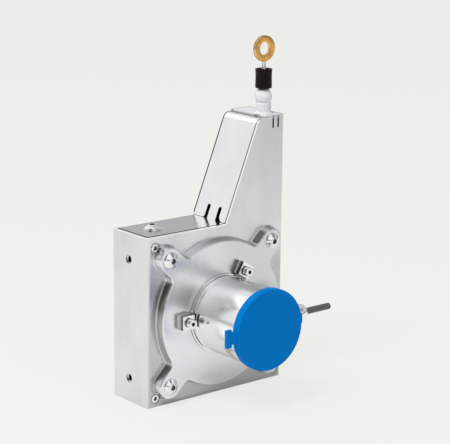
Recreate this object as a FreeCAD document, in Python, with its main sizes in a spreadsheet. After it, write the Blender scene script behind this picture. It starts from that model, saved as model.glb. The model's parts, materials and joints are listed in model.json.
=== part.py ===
import FreeCAD, Part
import math
import os

from FreeCAD import Placement, Rotation, Vector

# Draw wire encoder: a folded stainless housing with a wire drum, its return spring and a rotary encoder.
# Millimetres. +Z is up, -Y is the front with the encoder, and the wire is drawn out upwards.
# The origin is the centre of the bottom face. All driving sizes stand here and go into the spreadsheet.
SIZES = {
    # folded housing
    "housing_depth": 41.5,
    "sheet": 1.5,
    "seam": 0.25,
    "bend_radius": 3.0,
    "flange_bend_radius": 2.5,
    # outlet tower
    "tower_rise": 78.0,
    "tower_foot_inset": 56.0,
    "tower_lean_inset": 25.1,
    "tower_shoulder_drop": 1.2,
    "tower_shoulder_inset": 14.6,
    "tower_roll_radius": 7.0,
    "tower_roll_inset": 18.6,
    "tower_cover_sheet": 1.0,
    "tower_cover_foot": 1.5,
    "tower_cover_corner": 3.0,
    "tower_mouth_inset": 4.0,
    "tongue_width": 9.6,
    "tongue_centre_y": -1.5,
    "tongue_slot_width": 2.8,
    "tongue_slot_height": 10.4,
    "clip_slot_width": 1.5,
    "clip_slot_depth": 9.6,
    "clip_slot_inset": 11.5,
    "clip_slot_pitch": 5.0,
    # deep-drawn form on the front
    "emboss_depth": 7.0,
    "emboss_run": 1.2,
    "emboss_margin": 8.1,
    "arm_margin": 16.6,
    "arm_end_radius": 9.3,
    "arm_fillet": 5.0,
    "emboss_edge_radius": 1.8,
    "emboss_foot_radius": 1.0,
    # fasteners of the housing
    "cover_screw_head_radius": 6.2,
    "cover_screw_head_height": 3.0,
    "cover_screw_radius": 2.95,
    "cover_screw_length": 17.0,
    "post_radius": 5.0,
    "post_waist_radius": 4.0,
    "post_thread_depth": 14.0,
    "corner_margin": 7.4,
    "corner_hole_radius": 4.2,
    "corner_screw_head_radius": 3.3,
    "corner_screw_head_height": 2.4,
    "corner_screw_radius": 1.95,
    "standoff_radius": 4.9,
    "collar_length": 2.5,
    "rear_screw_head_radius": 3.8,
    "rear_screw_radius": 1.95,
    "rear_screw_length": 11.0,
    "side_hole_radius": 3.5,
    "side_hole_margin": 11.85,
    "side_hole_y": 1.8,
    "insert_radius": 5.0,
    "insert_thread_radius": 2.5,
    "insert_length": 8.0,
    "top_screw_inset": 20.5,
    "top_screw_y": 0.6,
    "top_screw_radius": 2.45,
    "top_screw_length": 9.0,
    "top_washer_radius": 6.9,
    "top_washer_thickness": 0.6,
    "top_nut_flats": 8.0,
    "top_nut_height": 4.0,
    "fit": 0.05,
    # wire, drum and return spring
    "drum_radius": 52.65,
    "wire_turns": 15,
    "wire_pitch": 1.0,
    "wire_diameter": 0.8,
    "drum_flange_height": 4.85,
    "drum_side_gap": 6.0,
    "drum_bottom_gap": 5.2,
    "drum_top_gap": 6.8,
    "drum_flange_thickness": 1.4,
    "drum_front_gap": 0.55,
    "drum_rim_thickness": 3.0,
    "drum_web_thickness": 3.0,
    "drum_hub_radius": 11.0,
    "drum_web_gap": 1.6,
    "shaft_radius": 5.0,
    "shaft_inset": 0.5,
    "shaft_end": 1.0,
    "coupling_depth": 12.0,
    "bearing_radius": 13.0,
    "bearing_width": 8.0,
    "bearing_ring_thickness": 2.4,
    "spider_thickness": 4.0,
    "spider_shoulder": 1.2,
    "spider_hub_radius": 17.0,
    "spider_clearance": 0.5,
    "spring_case_radius": 50.0,
    "spring_case_wall": 1.2,
    "spring_case_depth": 15.0,
    "spring_thickness": 0.6,
    "spring_width": 10.0,
    "spring_turns": 6,
    "arbor_radius": 8.0,
    "arbor_gap": 1.0,
    "spring_gap": 1.0,
    "running_gap": 0.3,
    # rotary encoder
    "encoder_radius": 30.6,
    "encoder_lip": 1.8,
    "encoder_groove_width": 1.6,
    "encoder_groove_radius": 28.3,
    "encoder_ring_radius": 29.5,
    "encoder_ring_width": 2.4,
    "encoder_can_radius": 29.2,
    "encoder_can_wall": 1.8,
    "encoder_can_length": 45.3,
    "encoder_skirt_length": 4.0,
    "encoder_skirt_wall": 4.5,
    "encoder_hub_wall": 2.5,
    "collar_radius": 18.0,
    "encoder_shaft_radius": 3.0,
    "encoder_bearing_radius": 8.5,
    "encoder_bearing_width": 6.0,
    "cap_rim": 1.5,
    "cap_thickness": 4.3,
    "cap_overlap": 1.9,
    "cap_edge_radius": 0.7,
    "cap_plug_depth": 5.0,
    "cap_plug_wall": 1.6,
    "cap_tab_overhang": 9.5,
    "cap_tab_width": 5.2,
    "cap_tab_root": 4.0,
    "cap_tab_height": 13.6,
    "cap_tab_thickness": 3.0,
    "cap_nub_overhang": 2.9,
    "clamp_screw_reach": 35.6,
    "clamp_width": 11.0,
    "clamp_inner_radius": 31.0,
    "clamp_outer_radius": 41.2,
    "clamp_height": 5.75,
    "clamp_claw_thickness": 1.4,
    "clamp_screw_head_radius": 3.6,
    "clamp_screw_head_height": 4.6,
    "clamp_screw_radius": 1.95,
    "disc_gap": 2.0,
    "disc_hub_radius": 7.0,
    "code_disc_radius": 22.0,
    "code_disc_thickness": 1.2,
    "board_gap": 7.0,
    "board_margin": 2.0,
    "board_thickness": 1.6,
    "board_post_radius": 1.6,
    "read_head_width": 9.0,
    "read_head_height": 7.0,
    "read_head_gap": 0.5,
    "gland_inset": 16.1,
    "gland_flats": 14.0,
    "gland_stub_radius": 6.0,
    "gland_hex_length": 4.5,
    "gland_nut_radius": 7.2,
    "gland_thread_length": 9.0,
    "gland_nut_gap": 1.2,
    "gland_dome_length": 5.5,
    "gland_length": 24.2,
    "cable_radius": 2.5,
    "cable_visible": 22.6,
    "cable_grip": 9.6,
    # wire outlet and wire end
    "nozzle_plate_depth": 2.8,
    "nozzle_neck_radius": 5.3,
    "nozzle_ball_radius": 6.0,
    "nozzle_ball_height": 13.3,
    "nozzle_spigot_length": 15.0,
    "nozzle_bore_radius": 1.3,
    "guide_radius": 3.0,
    "guide_length": 8.0,
    "wiper_length": 4.0,
    "stopper_radius": 6.55,
    "stopper_length": 14.7,
    "stopper_dish": 1.2,
    "stopper_gap": 0.3,
    "crimp_radius": 1.7,
    "crimp_length": 12.0,
    "eyelet_radius": 9.8,
    "eyelet_hole_radius": 5.0,
    "eyelet_thickness": 2.6,
    "eyelet_rise": 15.3,
    "loop_wire_radius": 0.55,
}

# Sizes that follow from others: the drum decides how large the housing is
FORMULAS = {
    "drum_flange_radius": "drum_radius + drum_flange_height",
    "housing_width": "2 * (drum_flange_radius + drum_side_gap + sheet)",
    "axis_height": "drum_flange_radius + drum_bottom_gap + sheet",
    "housing_height": "axis_height + drum_flange_radius + drum_top_gap + sheet",
    "tower_height": "housing_height + tower_rise",
    "tower_foot_x": "housing_width / 2 - tower_foot_inset",
    "tower_lean_x": "housing_width / 2 - tower_lean_inset",
    "tower_shoulder_x": "housing_width / 2 - tower_shoulder_inset",
    "tower_roll_end_x": "housing_width / 2 - tower_roll_inset",
    "clip_slot_x": "housing_width / 2 - clip_slot_inset",
    "top_screw_x": "top_screw_inset - housing_width / 2",
    "arm_reach": "housing_width / 2 - arm_margin",
    "corner_reach": "housing_width / 2 - corner_margin",
    "emboss_radius": "housing_width / 2 - emboss_margin - emboss_run",
    "side_hole_spacing": "2 * (corner_reach - side_hole_margin)",
    "cap_radius": "encoder_can_radius + cap_rim",
    "cap_tab_reach": "cap_radius + cap_tab_overhang",
    "cap_nub_reach": "cap_radius + cap_nub_overhang",
}

doc = FreeCAD.newDocument("draw_wire_encoder")
sizes_sheet = doc.addObject("Spreadsheet::Sheet", "Sizes")
cells = [(alias, str(number)) for alias, number in SIZES.items()]
cells += [(alias, "=" + formula) for alias, formula in FORMULAS.items()]
for row, (alias, content) in enumerate(cells, 1):
    sizes_sheet.set("A%d" % row, alias)
    sizes_sheet.setAlias("B%d" % row, alias)
    sizes_sheet.set("B%d" % row, content)
doc.recompute()


def size(name):
    """One driving size, read from the spreadsheet"""
    return float(sizes_sheet.get(name))


# Planes of the housing that most pieces share
half_width = size("housing_width") / 2
box_top = size("housing_height")
tower_top = size("tower_height")
sheet = size("sheet")
seam = size("seam")
fit = size("fit")
axis_height = size("axis_height")
front = -size("housing_depth") / 2
back = size("housing_depth") / 2
front_inner = front + sheet
back_inner = back - sheet
plateau = front - size("emboss_depth")
plateau_inner = plateau + sheet
outside = 100.0

# The wire runs up one side of the drum, in the middle of its winding
wire_radius = size("wire_diameter") / 2
drum_radius = size("drum_radius")
wire_x = drum_radius + wire_radius
winding_width = size("wire_turns") * size("wire_pitch")
drum_front = front_inner + size("drum_front_gap")
winding_front = drum_front + size("drum_flange_thickness")
wire_y = winding_front + winding_width / 2 + wire_radius

on_axis = Placement(Vector(0, 0, axis_height), Rotation())
parts = []


def origin_plane(body, role):
    """One of the body's own origin planes"""
    return [feature for feature in body.Origin.OriginFeatures if feature.Role == role][0]


def new_body(label, place=Placement()):
    body = doc.addObject("PartDesign::Body", label)
    body.Label = label
    body.Placement = place
    parts.append(body)
    return body


def new_sketch(body, role, offset=0.0):
    """An empty sketch on an origin plane, moved along the plane's normal"""
    sketch = body.newObject("Sketcher::SketchObject", body.Label + "_sketch")
    sketch.AttachmentSupport = [(origin_plane(body, role), "")]
    sketch.MapMode = "FlatFace"
    sketch.AttachmentOffset = Placement(Vector(0, 0, offset), Rotation())
    return sketch


def front_sketch(body, y):
    """A sketch that faces the front and lies at the given Y"""
    return new_sketch(body, "XZ_Plane", -y)


def draw_outline(sketch, points):
    """A closed outline. A point with four numbers is reached by an arc through its last two."""
    start = Vector(points[-1][0], points[-1][1], 0)
    for point in points:
        end = Vector(point[0], point[1], 0)
        if len(point) == 4:
            sketch.addGeometry(Part.Arc(start, Vector(point[2], point[3], 0), end))
        else:
            sketch.addGeometry(Part.LineSegment(start, end))
        start = end


def draw_circle(sketch, x, y, radius):
    sketch.addGeometry(Part.Circle(Vector(x, y, 0), Vector(0, 0, 1), radius))


def draw_rectangle(sketch, low, high):
    draw_outline(sketch, [low, (high[0], low[1]), high, (low[0], high[1])])


def pad(body, sketch, length, backwards=False):
    """Grows the sketch along its normal; a text length is an expression on the spreadsheet"""
    feature = body.newObject("PartDesign::Pad", body.Label + "_pad")
    feature.Profile = sketch
    feature.Reversed = backwards
    if isinstance(length, str):
        feature.setExpression("Length", length)
    else:
        feature.Length = length
    return feature


def pocket(body, sketch, length, towards_normal=False):
    """Cuts against the sketch's normal and makes sure that something is removed"""
    doc.recompute()
    volume = body.Shape.Volume
    feature = body.newObject("PartDesign::Pocket", body.Label + "_pocket")
    feature.Profile = sketch
    feature.Length = length
    feature.Reversed = towards_normal
    doc.recompute()
    if not body.Shape.Volume < volume:
        raise RuntimeError("a pocket of %s cuts nothing" % body.Label)
    return feature


def revolve(body, sketch, axis):
    feature = body.newObject("PartDesign::Revolution", body.Label + "_turned")
    feature.Profile = sketch
    feature.ReferenceAxis = (sketch, [axis])
    feature.Angle = 360.0
    return feature


def turned(label, points, place=on_axis, role="XY_Plane", axis="V_Axis"):
    """A turned piece. Its outline holds (radius, y) pairs, or (radius, z) on the XZ plane."""
    body = new_body(label, place)
    sketch = new_sketch(body, role)
    draw_outline(sketch, points)
    revolve(body, sketch, axis)
    doc.recompute()
    return body


def round_edges(body, radius, wanted):
    """Fillets the edges of the body that the test picks"""
    doc.recompute()
    base = body.Tip
    names = ["Edge%d" % (k + 1) for k, edge in enumerate(base.Shape.Edges) if wanted(edge)]
    feature = body.newObject("PartDesign::Fillet", body.Label + "_fillet")
    feature.Base = (base, names)
    feature.setExpression("Radius", radius)
    doc.recompute()
    return feature


def lies_at(edge, direction, value):
    """True for an edge whose whole length lies in a plane across the given direction"""
    box = edge.BoundBox
    low = Vector(box.XMin, box.YMin, box.ZMin).dot(direction)
    high = Vector(box.XMax, box.YMax, box.ZMax).dot(direction)
    return abs(low - value) < 1e-4 and abs(high - value) < 1e-4


def group(label, shape, places):
    """Like pieces in one node: a copy of the shape at each place"""
    feature = doc.addObject("Part::Feature", label)
    feature.Label = label
    copies = [shape.copy() for place in places]
    for copy, place in zip(copies, places):
        copy.Placement = place.multiply(copy.Placement)
    feature.Shape = Part.makeCompound(copies)
    parts.append(feature)
    return feature


def tube(outer, inner, length, start=Vector(0, 0, 0), direction=Vector(0, 1, 0)):
    """A plain tube from its start along a direction; no bore when the inner radius is zero"""
    shape = Part.makeCylinder(outer, length, start, direction)
    if inner > 0:
        shape = shape.cut(Part.makeCylinder(inner, length, start, direction))
    return shape


def lathe(points):
    """A turned shape about the Y axis from an outline of (radius, y) pairs, for pieces made in groups"""
    edges = []
    start = Vector(points[-1][0], points[-1][1], 0)
    for point in points:
        end = Vector(point[0], point[1], 0)
        if len(point) == 4:
            edges.append(Part.Arc(start, Vector(point[2], point[3], 0), end).toShape())
        else:
            edges.append(Part.LineSegment(start, end).toShape())
        start = end
    return Part.Face(Part.Wire(edges)).revolve(Vector(0, 0, 0), Vector(0, 1, 0), 360)


def hex_prism(flats, length, y):
    """A hexagonal prism about the Y axis, from the given Y towards +Y"""
    corner = flats / math.sqrt(3)
    points = [Vector(corner * math.cos(math.radians(60 * k)), y, corner * math.sin(math.radians(60 * k)))
              for k in range(7)]
    return Part.Face(Part.makePolygon(points)).extrude(Vector(0, length, 0))


def button_screw(radius, length):
    """Button-head screw: its head stands out to -Y from the origin, its shank runs to +Y"""
    head = size("cover_screw_head_radius")
    height = size("cover_screw_head_height")
    points = [(0, -height), (0.58 * head, -height), (0.86 * head, -0.66 * height), (head, -0.17 * height),
              (head, 0), (radius, 0), (radius, length), (0, length)]
    return lathe(points).cut(hex_prism(4.0, 2.0, -height))


def socket_screw(head, height, radius, length, socket):
    """Cylinder-head screw with a hexagon socket, laid like the button screw"""
    edge = 0.35
    points = [(0, -height), (head - edge, -height), (head, edge - height), (head, 0),
              (radius, 0), (radius, length), (0, length)]
    return lathe(points).cut(hex_prism(socket, 0.6 * height, -height))


def corners(reach, y):
    """Places on the four diagonals round the drum axis"""
    return [Placement(Vector(reach * sx, y, axis_height + reach * sz), Rotation())
            for sx in (-1, 1) for sz in (-1, 1)]


def corner_places(y):
    """Places of the corner screws; the upper right corner has none, because the wire passes there"""
    return [place for place in corners(size("corner_reach"), y)
            if place.Base.x < 0 or place.Base.z < axis_height]


# Embossed form: a circle with four arms on the diagonals, whose walls lean inwards.
wall_slope = size("emboss_run") / size("emboss_depth")
foot_radius = size("emboss_radius") + size("emboss_run")
foot_arm_radius = size("arm_end_radius") + size("emboss_run")
foot_fillet = size("arm_fillet") - size("emboss_run")


def outer_inset(y):
    """How far the outside of the leaning wall has moved in at a given Y"""
    return (front - y) * wall_slope


def inner_inset(y):
    """The same for the inside of the wall, one sheet thickness further in"""
    return outer_inset(y) + sheet * math.sqrt(1 + wall_slope ** 2)


def draw_embossed_outline(sketch, inset, centre_z):
    """The foot outline moved inwards: every arc keeps its centre"""
    circle = foot_radius - inset
    arm = foot_arm_radius - inset
    fillet = foot_fillet + inset
    reach = size("arm_reach") * math.sqrt(2)
    side = arm + fillet
    along = math.sqrt((circle + fillet) ** 2 - side ** 2)
    touch = circle / (circle + fillet)
    lean = Vector(-along, side, 0).normalize()
    middle = (lean + Vector(0, 1, 0)).normalize() * fillet
    points = []
    for k in range(4):
        turn = math.radians(45 + 90 * k)

        def place(u, v):
            return (u * math.cos(turn) - v * math.sin(turn), centre_z + u * math.sin(turn) + v * math.cos(turn))

        half = math.sqrt(0.5) * circle
        points.append(place(along * touch, -side * touch) + place(half, -half))
        points.append(place(along, -arm) + place(along + middle.x, -side + middle.y))
        points.append(place(reach, -arm))
        points.append(place(reach, arm) + place(reach + arm, 0))
        points.append(place(along, arm))
        points.append(place(along * touch, side * touch) + place(along + middle.x, side - middle.y))
    draw_outline(sketch, points)


# Tower outline: the slope, the roll at its top and the level shoulder, moved inwards by an offset
slope_top = tower_top - size("tower_shoulder_drop")
slope_run = size("tower_lean_x") - size("tower_foot_x")
slope_rise = slope_top - box_top
slope_angle = math.atan2(slope_rise, slope_run)


def tower_path(offset, start_z, end_x):
    """Points of the slope from start_z up, round the roll and along to end_x"""
    roll = size("tower_roll_radius")
    across = Vector(math.sin(slope_angle), -math.cos(slope_angle), 0)
    tangent = roll * math.tan(slope_angle / 2)
    centre_x = size("tower_lean_x") + tangent
    centre_z = slope_top - roll
    radius = roll - offset
    first = (centre_x - radius * across.x, centre_z - radius * across.y)
    half = math.pi / 2 + slope_angle / 2
    middle = (centre_x + radius * math.cos(half), centre_z + radius * math.sin(half))
    start_x = first[0] - (first[1] - start_z) / math.tan(slope_angle)
    return [(start_x, start_z), first, (centre_x, centre_z + radius) + middle, (end_x, centre_z + radius)]


# Front cover: one stainless sheet, folded back at both sides, with the tower's front and right-hand wall,
# and with the deep-drawn form in its middle.
front_cover = new_body("front_cover")
bend = size("bend_radius")
inner_bend = bend - sheet
soft = math.sqrt(0.5)
walls = new_sketch(front_cover, "XY_Plane")
draw_outline(walls, [
    (-half_width, back),
    (-half_width, front + bend),
    (-half_width + bend, front, -half_width + bend * (1 - soft), front + bend * (1 - soft)),
    (half_width - bend, front),
    (half_width, front + bend, half_width - bend * (1 - soft), front + bend * (1 - soft)),
    (half_width, back),
    (half_width - sheet, back),
    (half_width - sheet, front + bend),
    (half_width - bend, front_inner,
     half_width - bend + inner_bend * soft, front + bend - inner_bend * soft),
    (-half_width + bend, front_inner),
    (-half_width + sheet, front + bend,
     -half_width + bend - inner_bend * soft, front + bend - inner_bend * soft),
    (-half_width + sheet, back),
])
pad(front_cover, walls, "Sizes.tower_height")
beside_tower = front_sketch(front_cover, -outside)
slope = tower_path(0, box_top, size("tower_shoulder_x") - size("tower_shoulder_drop"))
draw_outline(beside_tower, [(-outside, box_top)] + slope
             + [(size("tower_shoulder_x"), tower_top), (size("tower_shoulder_x"), tower_top + outside),
                (-outside, tower_top + outside)])
pocket(front_cover, beside_tower, 2 * outside)
foot_sketch = front_sketch(front_cover, front)
draw_embossed_outline(foot_sketch, 0, axis_height)
plateau_sketch = front_sketch(front_cover, plateau)
draw_embossed_outline(plateau_sketch, outer_inset(plateau), axis_height)
emboss = front_cover.newObject("PartDesign::AdditiveLoft", "emboss_outside")
emboss.Profile = foot_sketch
emboss.Sections = [plateau_sketch]
emboss.Ruled = True
round_edges(front_cover, "Sizes.emboss_edge_radius", lambda edge: lies_at(edge, Vector(0, 1, 0), plateau))


def at_emboss_foot(edge):
    """True for the edges where the leaning wall leaves the flat sheet"""
    if not lies_at(edge, Vector(0, 1, 0), front):
        return False
    middle = edge.valueAt((edge.FirstParameter + edge.LastParameter) / 2)
    inside_x = abs(middle.x) < half_width - bend - seam
    return inside_x and seam < middle.z < box_top - seam


round_edges(front_cover, "Sizes.emboss_foot_radius", at_emboss_foot)
hollow_start = front_inner + seam
hollow_foot = front_sketch(front_cover, hollow_start)
draw_embossed_outline(hollow_foot, inner_inset(hollow_start), axis_height)
hollow_end = front_sketch(front_cover, plateau_inner)
draw_embossed_outline(hollow_end, inner_inset(plateau_inner), axis_height)
hollow = front_cover.newObject("PartDesign::SubtractiveLoft", "emboss_inside")
hollow.Profile = hollow_foot
hollow.Sections = [hollow_end]
hollow.Ruled = True

front_holes = front_sketch(front_cover, -outside)
clamp_angles = (60, 180, 300)
draw_circle(front_holes, 0, axis_height, size("collar_radius") + fit)
for place in corners(size("arm_reach"), 0):
    draw_circle(front_holes, place.Base.x, place.Base.z, size("cover_screw_radius") + seam)
for place in corner_places(0):
    draw_circle(front_holes, place.Base.x, place.Base.z, size("corner_hole_radius"))
for angle in clamp_angles:
    reach = size("clamp_screw_reach")
    draw_circle(front_holes, reach * math.cos(math.radians(angle)),
                axis_height + reach * math.sin(math.radians(angle)), size("clamp_screw_radius") + seam)
slot_half = size("clip_slot_width") / 2
for k in range(2):
    slot_x = size("clip_slot_x") + k * size("clip_slot_pitch")
    draw_rectangle(front_holes, (slot_x - slot_half, tower_top - size("clip_slot_depth")),
                   (slot_x + slot_half, tower_top + seam))
pocket(front_cover, front_holes, outside + front_inner + bend)

side_holes = new_sketch(front_cover, "YZ_Plane", outside)
side_heights = [axis_height - size("side_hole_spacing") / 2, axis_height + size("side_hole_spacing") / 2]
for height in side_heights:
    draw_circle(side_holes, size("side_hole_y"), height, size("side_hole_radius"))
pocket(front_cover, side_holes, 2 * outside)

# Back cover: the rear sheet with its top and bottom flanges and the tower's rear wall, one seam inside
# the front cover.
back_cover = new_body("back_cover")
cover_half = half_width - sheet - seam
lip = front_inner + seam
fold = size("flange_bend_radius")
inner_fold = fold - sheet
shell = new_sketch(back_cover, "YZ_Plane", -cover_half)
draw_outline(shell, [
    (lip, 0),
    (back - fold, 0),
    (back, fold, back - fold * (1 - soft), fold * (1 - soft)),
    (back, box_top - fold),
    (back - fold, box_top, back - fold * (1 - soft), box_top - fold * (1 - soft)),
    (lip, box_top),
    (lip, box_top - sheet),
    (back - fold, box_top - sheet),
    (back_inner, box_top - fold,
     back - fold + inner_fold * soft, box_top - fold + inner_fold * soft),
    (back_inner, fold),
    (back - fold, sheet, back - fold + inner_fold * soft, fold - inner_fold * soft),
    (lip, sheet),
])
pad(back_cover, shell, "Sizes.housing_width - 2 * (Sizes.sheet + Sizes.seam)")
cover_gap = 0.3
cover_inside = cover_gap + size("tower_cover_sheet")
tower_back = front_sketch(back_cover, back)
tower_foot_z = box_top - fold - sheet
wall_end = tower_path(cover_inside, tower_foot_z, size("tower_roll_end_x"))
draw_outline(tower_back, wall_end + [
    (size("tower_roll_end_x"), tower_top), (cover_half, tower_top), (cover_half, tower_foot_z)])
pad(back_cover, tower_back, "Sizes.sheet")
tower_mouth = new_sketch(back_cover, "XY_Plane", tower_top + 1)
tongue_half = size("tongue_width") / 2
mouth_x = tower_path(0, box_top, 0)[0][0] + size("tower_mouth_inset")
tongue_slot_start = tower_path(cover_gap, box_top - sheet, 0)[0][0] - seam
tongue_slot_end = tower_path(cover_inside, box_top, 0)[0][0] + seam
draw_rectangle(tower_mouth, (mouth_x, lip - seam), (half_width, back_inner))
draw_rectangle(tower_mouth, (tongue_slot_start, size("tongue_centre_y") - tongue_half - seam),
               (tongue_slot_end, size("tongue_centre_y") + tongue_half + seam))
pocket(back_cover, tower_mouth, tower_top + 1 - box_top + 2 * sheet)
rear_holes = front_sketch(back_cover, back + 1)
rear_sink = sheet - 0.1
rear_hole = size("rear_screw_head_radius") + fit - rear_sink
for place in corners(size("arm_reach"), 0):
    draw_circle(rear_holes, place.Base.x, place.Base.z, rear_hole)
for place in corner_places(0):
    draw_circle(rear_holes, place.Base.x, place.Base.z, size("corner_screw_radius") + fit)
pocket(back_cover, rear_holes, sheet + 2, towards_normal=True)
top_hole = new_sketch(back_cover, "XY_Plane", box_top + 1)
draw_circle(top_hole, size("top_screw_x"), size("top_screw_y"), size("top_screw_radius") + fit)
pocket(back_cover, top_hole, sheet + 2)


def at_rear_screw(edge):
    """True for the outer rim of each countersunk hole"""
    if not lies_at(edge, Vector(0, 1, 0), back) or not hasattr(edge.Curve, "Radius"):
        return False
    return abs(edge.Curve.Radius - rear_hole) < 1e-4


doc.recompute()
drilled = back_cover.Tip
sinks = back_cover.newObject("PartDesign::Chamfer", "countersinks")
sinks.Base = (drilled, ["Edge%d" % (k + 1) for k, edge in enumerate(drilled.Shape.Edges) if at_rear_screw(edge)])
sinks.Size = rear_sink

# Tower cover: polished sheet that closes the slope, rolled over at the top; a tongue between two slots
# reaches down into the top flange.
tower_cover = new_body("tower_cover")
side_view = front_sketch(tower_cover, lip)
outer_path = tower_path(cover_gap, box_top - 2 * sheet, size("tower_roll_end_x"))
inner_path = tower_path(cover_gap + size("tower_cover_sheet"), box_top - 2 * sheet, size("tower_roll_end_x"))
returned = [inner_path[3], inner_path[2][:2], inner_path[1] + inner_path[2][2:], inner_path[0]]
draw_outline(side_view, outer_path + returned)
pad(tower_cover, side_view, "Sizes.housing_depth - Sizes.sheet - Sizes.seam", backwards=True)
foot_cut = new_sketch(tower_cover, "YZ_Plane", outside)
foot_z = box_top + size("tower_cover_foot")
low = box_top - outside
tongue_left = size("tongue_centre_y") - tongue_half
tongue_right = size("tongue_centre_y") + tongue_half
slot = size("tongue_slot_width")
slot_top = box_top + size("tongue_slot_height")
round_corner = size("tower_cover_corner")
slot_corner = 0.6 * round_corner
for inner, direction in ((tongue_left, -1), (tongue_right, 1)):
    far = inner + direction * slot
    edge_y = lip if direction < 0 else back
    corner = 0.4 if direction < 0 else round_corner
    near_edge = edge_y - direction * corner
    draw_outline(foot_cut, [
        (inner, slot_top - slot / 2),
        (far, slot_top - slot / 2, (inner + far) / 2, slot_top),
        (far, foot_z + slot_corner),
        (far + direction * slot_corner, foot_z,
         far + direction * slot_corner * (1 - soft), foot_z + slot_corner * (1 - soft)),
        (near_edge, foot_z),
        (edge_y, foot_z + corner, near_edge + direction * corner * soft, foot_z + corner * (1 - soft)),
        (edge_y + direction, foot_z + corner),
        (edge_y + direction, low),
        (inner, low),
    ])
pocket(tower_cover, foot_cut, 2 * outside)

# Fasteners of the housing
cover_screw = button_screw(size("cover_screw_radius"), size("cover_screw_length"))
group("cover_screws", cover_screw, corners(size("arm_reach"), plateau))
corner_screw = socket_screw(size("corner_screw_head_radius"), size("corner_screw_head_height"),
                            size("corner_screw_radius"), size("housing_depth") - sheet - sheet / 2, 3.0)
collar = sheet / 2
group("corner_screws", corner_screw, corner_places(front_inner + collar))
standoff_length = back_inner - front_inner
standoff_bore = size("corner_screw_radius") + fit
standoff_seat = size("corner_screw_head_radius") + seam
standoff = size("standoff_radius")
group("corner_standoffs", lathe([
    (standoff_seat, 0), (standoff, 0), (standoff, standoff_length), (standoff_bore, standoff_length),
    (standoff_bore, collar), (standoff_seat, collar)]), corner_places(front_inner))
spider_back = plateau_inner + size("spider_thickness")
post_length = back_inner - spider_back
post = tube(size("post_waist_radius"), 0, post_length).fuse(
    tube(size("post_radius"), 0, size("collar_length"))).cut(
    tube(size("cover_screw_radius") + fit, 0, size("post_thread_depth"))).cut(
    tube(size("rear_screw_radius") + fit, 0, size("post_thread_depth"),
         Vector(0, post_length - size("post_thread_depth"), 0)))
sink_depth = size("rear_screw_head_radius") - sheet - size("rear_screw_radius") + seam
post = post.cut(Part.makeCone(size("rear_screw_radius"), size("rear_screw_radius") + sink_depth, sink_depth,
                              Vector(0, post_length - sink_depth, 0), Vector(0, 1, 0)))
group("corner_posts", post, corners(size("arm_reach"), spider_back))
sunk = size("rear_screw_head_radius") - size("rear_screw_radius")
rear_screw = lathe([(0, 0), (size("rear_screw_head_radius"), 0), (size("rear_screw_radius"), -sunk),
                    (size("rear_screw_radius"), -size("rear_screw_length")), (0, -size("rear_screw_length"))])
rear_screw = rear_screw.cut(hex_prism(2.5, 1.4, -1.4))
group("rear_screws", rear_screw, corners(size("arm_reach"), back - fit))
insert_places = []
for side in (-1, 1):
    for height in side_heights:
        spot = Vector(side * (half_width - sheet), size("side_hole_y"), height)
        insert_places.append(Placement(spot, Rotation(Vector(0, 0, 1), side * 90)))
group("side_inserts", tube(size("insert_radius"), size("insert_thread_radius"), size("insert_length")),
      insert_places)
upright = Rotation(Vector(1, 0, 0), -90)
top_spot = Vector(size("top_screw_x"), size("top_screw_y"), box_top)
washer = size("top_washer_thickness")
group("top_washer", tube(size("top_washer_radius"), size("top_screw_radius") + fit, washer,
                         Vector(0, -washer, 0)), [Placement(top_spot, upright)])
group("top_screw", button_screw(size("top_screw_radius"), size("top_screw_length")),
      [Placement(top_spot + Vector(0, 0, washer), upright)])
nut = hex_prism(size("top_nut_flats"), size("top_nut_height"), sheet).cut(
    tube(size("top_screw_radius") + fit, 0, outside))
group("top_nut", nut, [Placement(top_spot, upright)])

# Bearing spider: an aluminium carrier that fills the hollow of the embossed form. Its hub holds both
# bearings and its arms are clamped between the cover and the posts.
spider = new_body("bearing_spider", on_axis)
spider_sketch = front_sketch(spider, spider_back)
draw_embossed_outline(spider_sketch, inner_inset(plateau_inner) + size("spider_clearance"), 0)
pad(spider, spider_sketch, "Sizes.spider_thickness")
bearing_front = plateau_inner + size("spider_shoulder")
bearing_middle = bearing_front + size("bearing_width")
bearing_back = bearing_middle + size("bearing_width")
hub_sketch = front_sketch(spider, bearing_back)
draw_circle(hub_sketch, 0, 0, size("spider_hub_radius"))
pad(spider, hub_sketch, bearing_back - spider_back + size("spider_thickness") / 2)
seat_sketch = front_sketch(spider, bearing_front)
draw_circle(seat_sketch, 0, 0, size("bearing_radius"))
pocket(spider, seat_sketch, outside)
mouth_sketch = front_sketch(spider, plateau_inner - 1)
draw_circle(mouth_sketch, 0, 0, size("bearing_radius") - size("bearing_ring_thickness") + fit)
for sx in (-1, 1):
    for sz in (-1, 1):
        draw_circle(mouth_sketch, sx * size("arm_reach"), sz * size("arm_reach"),
                    size("cover_screw_radius") + seam)
for angle in clamp_angles:
    reach = size("clamp_screw_reach")
    draw_circle(mouth_sketch, reach * math.cos(math.radians(angle)), reach * math.sin(math.radians(angle)),
                size("clamp_screw_radius") + fit)
pocket(spider, mouth_sketch, outside)


def bearing_rings(label, bore, radius, width, ring, starts):
    """Outer rings with their seals, and inner rings, of bearings that start at the given Y values"""
    inner_ring = bore + ring
    places = [Placement(Vector(0, y, axis_height), Rotation()) for y in starts]
    group(label + "_outer_rings", tube(radius, inner_ring + size("running_gap"), width), places)
    group(label + "_inner_rings", tube(inner_ring, bore, width), places)


bearing_rings("bearing", size("shaft_radius"), size("bearing_radius"), size("bearing_width"),
              size("bearing_ring_thickness"), [bearing_front, bearing_middle])

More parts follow.
